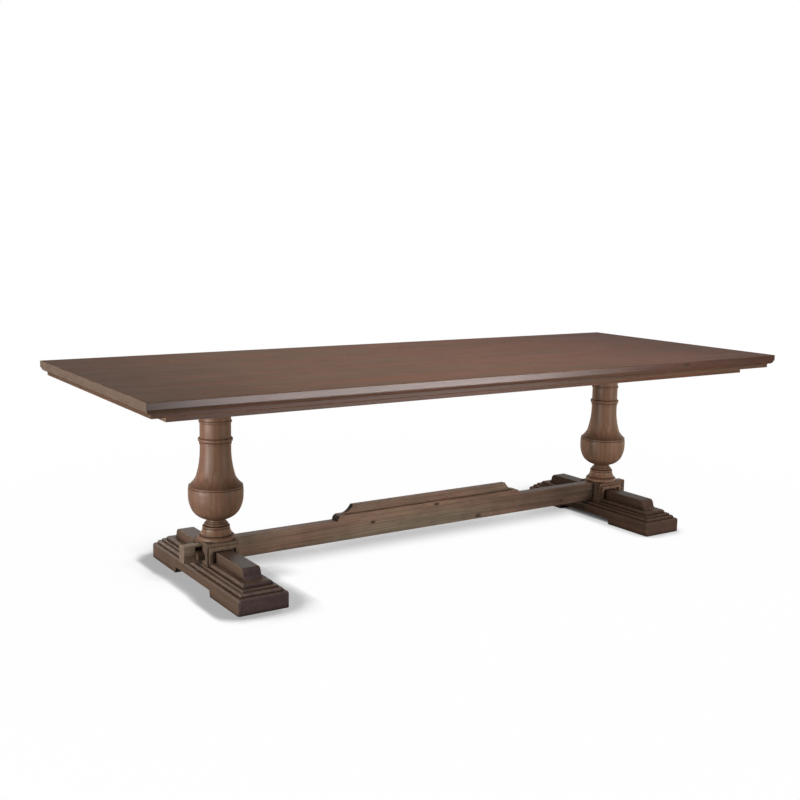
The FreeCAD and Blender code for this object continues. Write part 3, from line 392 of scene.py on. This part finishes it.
screwBoxes = {name: solidBoxes(name) for name in screwNodes}
screwAxes = [((low + high) / 2).to_2d() for boxes in screwBoxes.values() for low, high in boxes]
print(f"screw axes found: {len(screwAxes)}")


def besideScrew(edge):  # the short edges of a screw hole stay sharp
    reach = easing["screwReach"]
    middle = ((edge.verts[0].co + edge.verts[1].co) / 2).to_2d()
    return edge.calc_length() < reach and any((middle - axis).length < reach for axis in screwAxes)


def newPiece(name, mesh, body, slotName, finish, *replacedNodes):
    mesh.materials.clear()
    mesh.materials.append(finish)
    piece = bpy.data.objects.new(name, mesh)
    scene.collection.objects.link(piece)
    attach(piece, body)
    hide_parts(*replacedNodes)
    return piece


def easedPiece(nodeName, body, slotName, finish, ease):
    shape = mergedCopy(nodeName)
    bmesh.ops.dissolve_limit(shape, angle_limit=easing["flatAngle"], use_dissolve_boundaries=False,
                             verts=shape.verts, edges=shape.edges)
    bends = {e: e.calc_face_angle(0.0) for e in shape.edges}
    wornAndLit = shape.faces.layers.float.new("wornAndLitEdge")
    for face in shape.faces:  # a flat face beside a round stays flat
        curved = [e for e in face.edges if easing["flatAngle"] < bends[e] < easing["sharpAngle"]]
        width = face.calc_area() / max(e.calc_length() for e in face.edges)
        radius = width / max([bends[e] for e in curved], default=easing["flatAngle"])
        face.smooth = bool(curved) and radius < easing["roundRadius"]
        face.material_index = 0
        # narrow round noses are marked lighter, partly wear and partly a painted highlight
        nose = len(curved) > 1 and all(e.is_convex for e in curved) and radius < easing["noseRadius"]
        face[wornAndLit] = easing["noseWearAndHighlight"] if nose else 0.0
    corners = [e for e, bend in bends.items() if bend >= easing["sharpAngle"] and e.is_convex]
    arrises = [e for e in corners if not besideScrew(e)]
    made = bmesh.ops.bevel(
        shape, geom=arrises, offset=ease, offset_type="OFFSET", segments=easing["steps"],
        profile=easing["profile"], affect="EDGES", clamp_overlap=True, loop_slide=True, material=-1)
    rounded = set(made["faces"])
    for face in rounded:
        face[wornAndLit] = 1.0
        face.smooth = True
    for edge in shape.edges:
        inside = all(f in rounded for f in edge.link_faces)
        edge.smooth = inside or edge.calc_face_angle(0.0) < easing["sharpAngle"]
    mesh = bpy.data.meshes.new(nodeName + ".eased")
    shape.to_mesh(mesh)
    shape.free()
    for stray in [a.name for a in mesh.attributes if a.name == "custom_normal"]:  # from before the easing
        mesh.attributes.remove(mesh.attributes[stray])
    return newPiece(nodeName + ".eased", mesh, body, slotName, finish, nodeName)


# Top: seven boards, each from another part of the tree

topPieces = bpy.data.collections.new("topPieces")
boardSet = {"ease": 0.0007, "step": (0.83, 0.037, 0.021), "knot": (0.857, 0.752, 0.024, 0.008)}
for number in range(1, 8):
    shift = stepped((0, 0, 0), boardSet["step"], number)
    knots = [boardSet["knot"]] if number == 1 else []
    wood = stainedWood(f"boardWood{number}", topStain, "x", shift, knots)
    topPieces.objects.link(easedPiece(f"top_board_{number}", "table", "top_wood", wood, boardSet["ease"]))
print("top boards eased")

edgeSet = {
    "ease": 0.0009, "sides": {"front": "x", "back": "x", "left": "y", "right": "y"},
    "rows": {  # material, and where its pattern starts and how it moves on from side to side
        "edge_strip": ("stripWood", (0, 0, 0.03), (0.4, 0.06, 0)),
        "apron": ("apronWood", (1.1, 0.02, 0), (0.5, 0, 0.05)),
    },
}
for count, (side, grain) in enumerate(edgeSet["sides"].items()):
    for part, (woodName, start, step) in edgeSet["rows"].items():
        wood = stainedWood(woodName + side.title(), edgeStain, grain, stepped(start, step, count))
        topPieces.objects.link(easedPiece(f"{part}_{side}", "table", "edge_wood", wood, edgeSet["ease"]))
print("edge strips and aprons eased")

# Turned columns: the outline is drawn once and a node tree turns it round each trestle's axis

columnSet = {
    "trestle": 0.944, "foot": 0.157, "head": 0.645, "segments": 112, "arcSteps": 10,
    "spigotRadius": 0.040, "spigotDepth": 0.009, "headSpigotRadius": 0.030, "headSpigotLength": 0.050,
    "disc": 0.067, "flank": 0.0575, "cove": 0.049, "ring": 0.0495, "smallRing": 0.043, "waist": 0.0335,
    "urnLow": 0.084, "urn": 0.0985, "skirt": 0.097, "quirk": 0.0015, "bell": 0.0704, "neck": 0.0555,
    "fillet": 0.0575, "bead": 0.062, "collar": 0.059, "capital": 0.075, "step": 0.003,
    "lift": 0.00002,  # a level shoulder still climbs by a hair, so that the turning never stalls
    "weldGap": 0.000001, "sharpAngle": math.radians(32), "stave": 0.046, "grainShift": (0.3, 0.02),
}


def columnOutline(c):  # (share of the turned height, radius, rise of the arc as a share of its chord)
    step, bead, quarter = c["step"], -0.16, -math.tan(math.pi / 8) / 2
    stations = [
        (0.0, c["disc"] - step, 0), (0.017, c["disc"], bead), (0.037, c["flank"] + step, bead),
        (0.039, c["flank"] - step / 2, 0), (0.042, c["flank"] - step / 2, 0), (0.044, c["flank"], 0),
        (0.088, c["cove"], 0.06), (0.090, c["ring"] - step, 0), (0.0985, c["ring"], quarter),
        (0.107, c["ring"] - step, quarter), (0.108, c["smallRing"] - step, 0),
        (0.110, c["smallRing"] - step, 0), (0.1175, c["smallRing"], quarter),
        (0.125, c["smallRing"] - step, quarter), (0.126, c["waist"] + step, 0),
        (0.136, c["waist"] + step, 0), (0.143, c["waist"], 0.1), (0.150, c["waist"], 0),
        (0.156, c["waist"] + step, 0), (0.2195, c["urnLow"], -0.1), (0.344, c["urn"], -0.07),
        (0.392, c["skirt"] + c["quirk"] / 2, -0.03), (0.395, c["skirt"] - c["quirk"], 0),
        (0.399, c["skirt"] - c["quirk"], 0), (0.401, c["skirt"], 0), (0.408, c["skirt"], 0),
        (0.475, c["bell"], 0.06), (0.670, c["neck"], 0.036), (0.713, c["neck"], 0), (0.7155, c["fillet"], 0),
        (0.728, c["fillet"], 0), (0.732, c["neck"] + step / 4, 0), (0.748, c["bead"], quarter),
        (0.764, c["neck"] + step / 4, quarter), (0.767, c["neck"], 0), (0.872, c["neck"], 0),
        (0.8815, c["collar"], quarter), (0.891, c["neck"], quarter), (0.93, c["neck"], 0),
        (0.972, c["capital"] - step, 0.17), (0.978, c["capital"], 0), (1.0, c["capital"], 0),
    ]
    height = c["head"] - c["foot"]
    points = [Vector((c["spigotRadius"], z)) for z in (c["foot"] - c["spigotDepth"], c["foot"])]
    for share, radius, rise in stations:
        start, end = points[-1], Vector((radius, c["foot"] + share * height))
        points.extend(arcPoints(start, end, rise, c["arcSteps"]) if rise else [end])
    points.append(Vector((c["headSpigotRadius"], c["head"])))
    points.append(Vector((c["headSpigotRadius"], c["head"] + c["headSpigotLength"])))
    return points


def arcPoints(start, end, rise, steps):
    chord = end - start
    side = Vector((-chord.y, chord.x))
    half = 2 * math.atan(2 * abs(rise))  # half of the arc's angle
    radius = chord.length / (2 * math.sin(half))
    sign = 1 if rise > 0 else -1
    centre = start + chord / 2 - side.normalized() * sign * radius * math.cos(half)
    first = start - centre
    turn = -sign * 2 * half
    return [centre + Matrix.Rotation(turn * n / steps, 2) @ first for n in range(1, steps)] + [end]


def geometryTree(name, inputs):
    tree = bpy.data.node_groups.new(name, "GeometryNodeTree")
    tree.interface.new_socket("Geometry", in_out="INPUT", socket_type="NodeSocketGeometry")
    for label, kind in inputs:
        tree.interface.new_socket(label, in_out="INPUT", socket_type=kind)
    tree.interface.new_socket("Geometry", in_out="OUTPUT", socket_type="NodeSocketGeometry")
    return tree, put(tree, "NodeGroupInput").outputs, put(tree, "NodeGroupOutput")


def grown(name, mesh, tree, values):  # runs a tree on a mesh and gives back a plain mesh
    seed = bpy.data.objects.new(name, mesh)
    scene.collection.objects.link(seed)
    run = seed.modifiers.new(name, "NODES")
    run.node_group = tree
    sockets = {s.name: s.identifier for s in tree.interface.items_tree if s.in_out == "INPUT"}
    for label, value in values.items():
        run[sockets[label]] = value
    depsgraph = bpy.context.evaluated_depsgraph_get()
    result = bpy.data.meshes.new_from_object(seed.evaluated_get(depsgraph), depsgraph=depsgraph)
    seed.modifiers.remove(run)
    bpy.data.objects.remove(seed)
    return result


def lathe():
    tree, given, out = geometryTree("turnedColumn", [
        ("Segments", "NodeSocketInt"), ("Place", "NodeSocketVector"), ("Wood", "NodeSocketMaterial")])
    spot = put(tree, "ShaderNodeSeparateXYZ", {0: put(tree, "GeometryNodeInputPosition").outputs[0]})
    curve = put(tree, "GeometryNodeMeshToCurve", {"Mesh": given["Geometry"]})
    keep = put(tree, "GeometryNodeCaptureAttribute", {"Geometry": curve.outputs[0]})
    keep.capture_items.new("FLOAT", "Radius")
    tree.links.new(spot.outputs["X"], keep.inputs["Radius"])
    axis = put(tree, "ShaderNodeCombineXYZ", {"Z": spot.outputs["Z"]})
    upright = put(tree, "GeometryNodeSetPosition", {
        "Geometry": keep.outputs["Geometry"], "Position": axis.outputs[0]})
    ring = put(tree, "GeometryNodeCurvePrimitiveCircle", {"Resolution": given["Segments"], "Radius": 1.0})
    turned = put(tree, "GeometryNodeCurveToMesh", {
        "Curve": upright.outputs[0], "Profile Curve": ring.outputs["Curve"], "Scale": keep.outputs["Radius"],
        "Fill Caps": True})
    moved = put(tree, "GeometryNodeTransform", {"Geometry": turned.outputs[0], "Translation": given["Place"]})
    real = put(tree, "GeometryNodeRealizeInstances", {0: moved.outputs[0]})
    stained = put(tree, "GeometryNodeSetMaterial", {"Geometry": real.outputs[0], "Material": given["Wood"]})
    tree.links.new(stained.outputs[0], out.inputs[0])
    return tree


def drawnLine(name, points):
    mesh = bpy.data.meshes.new(name)
    raised = [(p.x, 0.0, p.y + columnSet["lift"] * n / len(points)) for n, p in enumerate(points)]
    mesh.from_pydata(raised, [(n, n + 1) for n in range(len(points) - 1)], [])
    return mesh


def cleaned(mesh, sharp):
    shape = bmesh.new()
    shape.from_mesh(mesh)
    bmesh.ops.remove_doubles(shape, verts=shape.verts, dist=columnSet["weldGap"])
    bmesh.ops.recalc_face_normals(shape, faces=shape.faces)
    shape.to_mesh(mesh)
    shape.free()
    mesh.shade_smooth()
    mesh.set_sharp_from_angle(angle=sharp)
    return mesh


columnTree = lathe()
outlinePoints = columnOutline(columnSet)
for hand, side, stain in (("left", -1, turnedStain), ("right", 1, litFarTurnedStain)):
    axisX = side * columnSet["trestle"]
    grainX, grainY = columnSet["grainShift"]
    wood = stainedWood(f"columnWood{hand.title()}", stain, "z", (grainX * side, grainY, axisX),
                       staves=columnSet["stave"])
    turned = grown(f"column_{hand}.turned", drawnLine("columnOutline", outlinePoints), columnTree, {
        "Segments": columnSet["segments"], "Place": (axisX, 0, 0), "Wood": wood})
    newPiece(f"column_{hand}.turned", cleaned(turned, columnSet["sharpAngle"]), "table", "base_wood", wood,
             f"column_{hand}")
print("columns turned")

# Feet, plinths, stretcher, crest and keys

trestleSet = {
    "step": (0.37, 0.05, 0.04), "handShift": -0.2,
    "parts": {  # grain, easing, near stain, far stain painted darker as shade
        "plinth": ("z", 0.0013, blockStain, shadedFarBlockStain),
        "foot_base": ("y", 0.0024, footStain, shadedFarFootStain),
        "foot_moulding": ("y", 0.001, footStain, shadedFarFootStain),
        "foot_ridge_front": ("y", 0.0014, footStain, shadedFarFootStain),
        "foot_ridge_back": ("y", 0.0014, footStain, shadedFarFootStain),
    },
}
for count, (part, (grain, ease, nearStain, shadedFarStain)) in enumerate(trestleSet["parts"].items()):
    for hand, side, stain in (("left", -1, nearStain), ("right", 1, shadedFarStain)):
        shift = stepped((0, trestleSet["handShift"] * side, 0), trestleSet["step"], count)
        wood = stainedWood(f"{part.title().replace('_', '')}Wood{hand.title()}", stain, grain, shift)
        easedPiece(f"{part}_{hand}", "table", "base_wood", wood, ease)

stretcherSet = {
    "knots": [(-0.291, 0.134, 0.015, 0.009), (0.2275, 0.091, 0.024, 0.010), (0.688, 0.100, 0.014, 0.009),
              (0.014, 0.1675, 0.02, 0.009)],
    "parts": {  # easing, stain, shift of the grain
        "stretcher": (0.0011, railStain, (0, 0, 0)),
        "crest_low": (0.0009, crestStain, (0.06, 0.003, 0)),
        "crest_high": (0.0009, crestStain, (0.9, 0.05, 0.04)),
    },
}
for part, (ease, stain, shift) in stretcherSet["parts"].items():
    wood = stainedWood(f"{part.title().replace('_', '')}Wood", stain, "x", shift, stretcherSet["knots"])
    easedPiece(part, "table", "base_wood", wood, ease)

keySet = {"ease": 0.0009, "shift": (0.21, 0.03, 0.3)}
for hand in ("left", "right"):
    wood = stainedWood(f"keyWood{hand.title()}", keyStain, "y", keySet["shift"])
    easedPiece(f"key_{hand}", f"{hand}_key", "key_wood", wood, keySet["ease"])
print("feet, stretcher, crest and keys eased")

# Wood screws: a node tree makes one screw and sets it, turned by chance, in every hole of a node

screwSet = {
    "threadGap": 0.0032, "coreShare": 0.72, "headTaper": 0.8, "recessWidth": 0.0014, "recessSpan": 1.2,
    "recessDepth": 0.0018, "tip": 0.006, "lead": 0.004, "seed": 11,
    "headSides": 20, "coreSides": 12, "threadSteps": 7, "threadSides": 3,
    "kinds": {  # head radius, head height, shank radius
        "batten_screws": (0.005, 0.004, 0.0025), "apron_screws": (0.005, 0.004, 0.0025),
        "foot_screws": (0.0065, 0.004, 0.003), "crest_screws": (0.0065, 0.004, 0.003),
    },
}


def screwTree(settings):
    tree, given, out = geometryTree("woodScrews", [
        ("Head Radius", "NodeSocketFloat"), ("Head Height", "NodeSocketFloat"),
        ("Shank Radius", "NodeSocketFloat"), ("Length", "NodeSocketFloat"),
        ("Seed", "NodeSocketInt"), ("Steel", "NodeSocketMaterial")])

    def lifted(geometry, height):
        place = put(tree, "ShaderNodeCombineXYZ", {"Z": height}).outputs[0]
        return put(tree, "GeometryNodeTransform", {"Geometry": geometry, "Translation": place}).outputs[0]

    below = times(tree, given["Head Height"], -1.0)
    head = put(tree, "GeometryNodeMeshCone", {
        "Vertices": settings["headSides"], "Radius Top": given["Head Radius"], "Depth": given["Head Height"],
        "Radius Bottom": times(tree, given["Head Radius"], settings["headTaper"])})
    span = times(tree, given["Head Radius"], settings["recessSpan"])
    lowered = lifted(head.outputs["Mesh"], below)
    cross = put(tree, "GeometryNodeMeshBoolean", {0: lowered}, operation="DIFFERENCE")
    for sides in ({"X": span, "Y": settings["recessWidth"]}, {"X": settings["recessWidth"], "Y": span}):
        block = put(tree, "ShaderNodeCombineXYZ", {**sides, "Z": 2 * settings["recessDepth"]}).outputs[0]
        bar = put(tree, "GeometryNodeMeshCube", {"Size": block}).outputs["Mesh"]
        tree.links.new(lifted(bar, below), cross.inputs[1])

    coreRadius = times(tree, given["Shank Radius"], settings["coreShare"])
    straight = math2(tree, "SUBTRACT", given["Length"], settings["tip"])
    core = put(tree, "GeometryNodeMeshCylinder", {
        "Vertices": settings["coreSides"], "Radius": coreRadius, "Depth": straight})
    tip = put(tree, "GeometryNodeMeshCone", {
        "Vertices": settings["coreSides"], "Radius Top": 0.0, "Radius Bottom": coreRadius,
        "Depth": settings["tip"]})
    threaded = math2(tree, "SUBTRACT", straight, settings["lead"])
    spiral = put(tree, "GeometryNodeCurveSpiral", {
        "Resolution": settings["threadSteps"], "Height": threaded,
        "Rotations": math2(tree, "DIVIDE", threaded, settings["threadGap"]),
        "Start Radius": coreRadius, "End Radius": coreRadius})
    ridge = put(tree, "GeometryNodeCurvePrimitiveCircle", {
        "Resolution": settings["threadSides"],
        "Radius": math2(tree, "SUBTRACT", given["Shank Radius"], coreRadius)})
    thread = put(tree, "GeometryNodeCurveToMesh", {
        "Curve": spiral.outputs[0], "Profile Curve": ridge.outputs["Curve"], "Fill Caps": True})
    whole = put(tree, "GeometryNodeJoinGeometry")
    for part in (cross.outputs["Mesh"], lifted(core.outputs["Mesh"], math2(tree, "DIVIDE", straight, 2.0)),
                 lifted(tip.outputs["Mesh"], straight), lifted(thread.outputs[0], settings["lead"])):
        tree.links.new(part, whole.inputs[0])

    chance = put(tree, "FunctionNodeRandomValue", {"Seed": given["Seed"]}, data_type="FLOAT")
    chance.inputs[3].default_value = 2 * math.pi  # the largest turn
    spin = put(tree, "ShaderNodeCombineXYZ", {"Z": chance.outputs[1]}).outputs[0]
    turned = put(tree, "FunctionNodeEulerToRotation", {0: spin}).outputs[0]
    row = put(tree, "GeometryNodeInstanceOnPoints", {
        "Points": given["Geometry"], "Instance": whole.outputs[0], "Rotation": turned})
    real = put(tree, "GeometryNodeRealizeInstances", {0: row.outputs[0]})
    finished = put(tree, "GeometryNodeSetMaterial", {"Geometry": real.outputs[0], "Material": given["Steel"]})
    tree.links.new(finished.outputs[0], out.inputs[0])
    return tree


steel = metal("zincSteel", paint(168, 170, 172), paint(112, 110, 106), 0.34)
screws = screwTree(screwSet)
for nodeName, (headRadius, headHeight, shankRadius) in screwSet["kinds"].items():
    boxes = screwBoxes[nodeName]
    seats = bpy.data.meshes.new(nodeName)
    seats.from_pydata([(*((low + high) / 2).to_2d(), low.z + headHeight) for low, high in boxes], [], [])
    threaded = grown(nodeName, seats, screws, {
        "Head Radius": headRadius, "Head Height": headHeight, "Shank Radius": shankRadius,
        "Length": boxes[0][1].z - boxes[0][0].z - headHeight, "Seed": screwSet["seed"], "Steel": steel})
    newPiece(nodeName + ".threaded", cleaned(threaded, easing["sharpAngle"]), "table", "steel", steel,
             nodeName)
print("wood screws set")

# Parts under the top keep their CAD shape

innerSet = {
    "shift": (0.5, 0.1, 0.2),
    "grains": {
        "bearer_left": "y", "bearer_right": "y", "batten_left": "y", "batten_centre": "y",
        "batten_right": "y", "top_splines": "x", "corner_block_front_left": "z",
        "corner_block_front_right": "z", "corner_block_back_left": "z", "corner_block_back_right": "z",
    },
    "steel": ("post_screws", "post_washers", "bearer_bolts", "bearer_washers"),
    "brass": ("bearer_inserts",),
}


def refinish(nodeName, finish):
    cadNodes[nodeName].data.materials.clear()
    cadNodes[nodeName].data.materials.append(finish)


brass = metal("brassInsert", paint(190, 158, 96), paint(128, 100, 58), 0.32)
innerWoods = {g: stainedWood(f"innerWood{g.upper()}", innerStain, g, innerSet["shift"]) for g in "xyz"}
for nodeName, grain in innerSet["grains"].items():
    refinish(nodeName, innerWoods[grain])
for nodeName in innerSet["steel"]:
    refinish(nodeName, steel)
for nodeName in innerSet["brass"]:
    refinish(nodeName, brass)
print("inner parts and metal finished")

# Studio: a pale floor, soft lamps, a white backdrop, and the photograph's camera

studioSet = {
    "floorSize": 24.0, "floorColour": (0.72, 0.72, 0.72, 1.0), "glow": 0.985, "fade": (1.6, 3.2),
    "ambient": 0.18, "mirrored": 0.93, "shadowSamples": 16,
    "shadows": (  # way the floor looks, its reach, range of openness, then the level at two places on an axis
        ((0.0, 0.0, 1.0), 0.077, (0.6, 0.95), "X", (-0.85, 0.1), (0.5, 0.65)),  # round both feet
        ((0.62, -0.1, 0.78), 0.083, (0.8, 0.97), "X", (-0.9, -0.8), (0.41, 1.0)),  # left of the near foot
        ((-0.62, 0.0, 0.78), 0.13, (0.78, 0.98), "X", (-0.75, -0.6), (0.5, 1.0)),  # right of the near foot
        ((-0.5, -0.55, 0.67), 0.4, (0.8, 0.95), "Y", (-0.02, 0.18), (1.0, 0.47)),  # behind the stretcher
        ((0.0, 0.0, 1.0), 0.12, (0.05, 0.42), "X", (-0.85, 0.1), (1.0, 0.03)),  # under the far foot
    ),
    "lamps": {  # place, aim, width, height, watts, colour
        "overhead": ((0.1, -0.7, 3.0), (0.1, -0.1, 0.6), 2.4, 1.6, 48.0, (1.0, 0.98, 0.96)),
        "leftSide": ((-8.0, -0.4, 1.4), (-0.9, 0.0, 0.4), 2.0, 2.2, 540.0, (1.0, 0.97, 0.94)),
        "rightFront": ((2.7, -6.2, 0.8), (0.2, 0.0, 0.5), 2.0, 1.2, 72.0, (1.0, 0.97, 0.95)),
        "rightSide": ((2.0, -3.4, 0.4), (0.95, 0.0, 0.4), 0.9, 0.7, 44.0, (1.0, 0.96, 0.92)),
        "backFill": ((-0.6, 6.5, 1.0), (0.0, 0.0, 0.4), 2.6, 1.4, 150.0, (1.0, 0.98, 0.96)),
        "rightFill": ((7.5, 1.2, 1.0), (0.9, 0.0, 0.4), 2.0, 1.4, 260.0, (1.0, 0.98, 0.96)),
    },
    "cards": {  # bright cards that only reflections show
        "frontCard": ((0.71, -2.5, 0.4), (0.71, 0.0, 0.6), 2.4, 0.6, 136.0, (0.95, 0.95, 1.0)),
        "leftCard": ((-4.2, -0.6, 0.36), (-0.9, 0.0, 0.4), 1.6, 0.66, 290.0, (1.0, 0.97, 0.94)),
    },
    "unmirrored": ("leftSide", "backFill", "rightFill"),  # lamps that reflections don't show
    "topCard": "frontCard",  # mirrored in the top's pieces alone
}

world = scene.world or bpy.data.worlds.new("studio")
scene.world = world
world.use_nodes = True
skyTree = world.node_tree
skyTree.nodes.clear()
path = put(skyTree, "ShaderNodeLightPath").outputs
seen = math2(skyTree, "MAXIMUM", path["Is Camera Ray"], path["Is Transmission Ray"])
mirrored = times(skyTree, path["Is Glossy Ray"], studioSet["mirrored"])
level = math2(skyTree, "MAXIMUM", math2(skyTree, "MAXIMUM", seen, mirrored), studioSet["ambient"])
sky = put(skyTree, "ShaderNodeBackground", {"Color": (1, 1, 1, 1), "Strength": level})
put(skyTree, "ShaderNodeOutputWorld", {"Surface": sky.outputs[0]})

floorMesh = bpy.data.meshes.new("floor")
half = studioSet["floorSize"] / 2
floorCorners = [(-half, -half, 0), (half, -half, 0), (half, half, 0), (-half, half, 0)]
floorMesh.from_pydata(floorCorners, [], [(0, 1, 2, 3)])
floor = bpy.data.objects.new("floor", floorMesh)
scene.collection.objects.link(floor)
floorMaterial, floorTree = bareMaterial("paleFloor")
floorPlace = put(floorTree, "ShaderNodeTexCoord").outputs["Object"]
away = put(floorTree, "ShaderNodeVectorMath", {0: floorPlace}, operation="LENGTH").outputs["Value"]
fade = spread(floorTree, away, *studioSet["fade"], studioSet["glow"], 1.0)
glow = times(floorTree, fade, put(floorTree, "ShaderNodeLightPath").outputs["Is Camera Ray"])
matt = put(floorTree, "ShaderNodeBsdfDiffuse", {"Color": studioSet["floorColour"]})
floorAxes = put(floorTree, "ShaderNodeSeparateXYZ", {0: floorPlace}).outputs
shadow = 1.0
for way, distance, openness, axis, places, levels in studioSet["shadows"]:
    tilt = put(floorTree, "ShaderNodeCombineXYZ", dict(enumerate(way))).outputs[0]
    view = put(floorTree, "ShaderNodeAmbientOcclusion", {"Distance": distance, "Normal": tilt},
               samples=studioSet["shadowSamples"])
    deepest = spread(floorTree, floorAxes[axis], *places, *levels)
    shade = spread(floorTree, view.outputs["AO"], *openness, deepest, 1.0)
    shadow = math2(floorTree, "MINIMUM", shadow, shade)
white = put(floorTree, "ShaderNodeEmission", {"Strength": shadow})
blend = put(floorTree, "ShaderNodeMixShader", {0: glow, 1: matt.outputs[0], 2: white.outputs[0]})
put(floorTree, "ShaderNodeOutputMaterial", {"Surface": blend.outputs[0]})
floorMesh.materials.append(floorMaterial)

for name, (place, aim, width, height, watts, colour) in (studioSet["lamps"] | studioSet["cards"]).items():
    lamp = bpy.data.lights.new(name, "AREA")
    lamp.shape = "RECTANGLE"
    lamp.size = width
    lamp.size_y = height
    lamp.energy = watts
    lamp.color = colour
    holder = bpy.data.objects.new(name, lamp)
    holder.location = place
    holder.rotation_euler = (Vector(aim) - Vector(place)).to_track_quat("-Z", "Y").to_euler()
    holder.visible_camera = False
    holder.visible_diffuse = name in studioSet["lamps"]
    holder.visible_glossy = name not in studioSet["unmirrored"]
    if name == studioSet["topCard"]:
        holder.light_linking.receiver_collection = topPieces
    scene.collection.objects.link(holder)

cameraSet = {"place": (-2.50589, -3.52654, 1.27894), "yaw": -33.63, "pitch": 9.04, "roll": 1.07,
             "focalPixels": 1090.93, "framePixels": 800, "sensor": 36.0}
yaw, pitch, roll = (math.radians(cameraSet[k]) for k in ("yaw", "pitch", "roll"))
back = Vector((math.sin(yaw) * math.cos(pitch), -math.cos(yaw) * math.cos(pitch), math.sin(pitch)))
right = Vector((math.cos(yaw), math.sin(yaw), 0))
up = back.cross(right)
rightTilted = math.cos(roll) * right + math.sin(roll) * up
upTilted = math.cos(roll) * up - math.sin(roll) * right
facing = Matrix((rightTilted, upTilted, back)).transposed().to_4x4()
lens = bpy.data.cameras.new("camera")
lens.sensor_width = cameraSet["sensor"]
lens.lens = cameraSet["focalPixels"] * cameraSet["sensor"] / cameraSet["framePixels"]
camera = bpy.data.objects.new("camera", lens)
camera.matrix_world = Matrix.Translation(cameraSet["place"]) @ facing
scene.collection.objects.link(camera)
scene.camera = camera
scene.view_settings.view_transform = "Standard"
print("studio set")
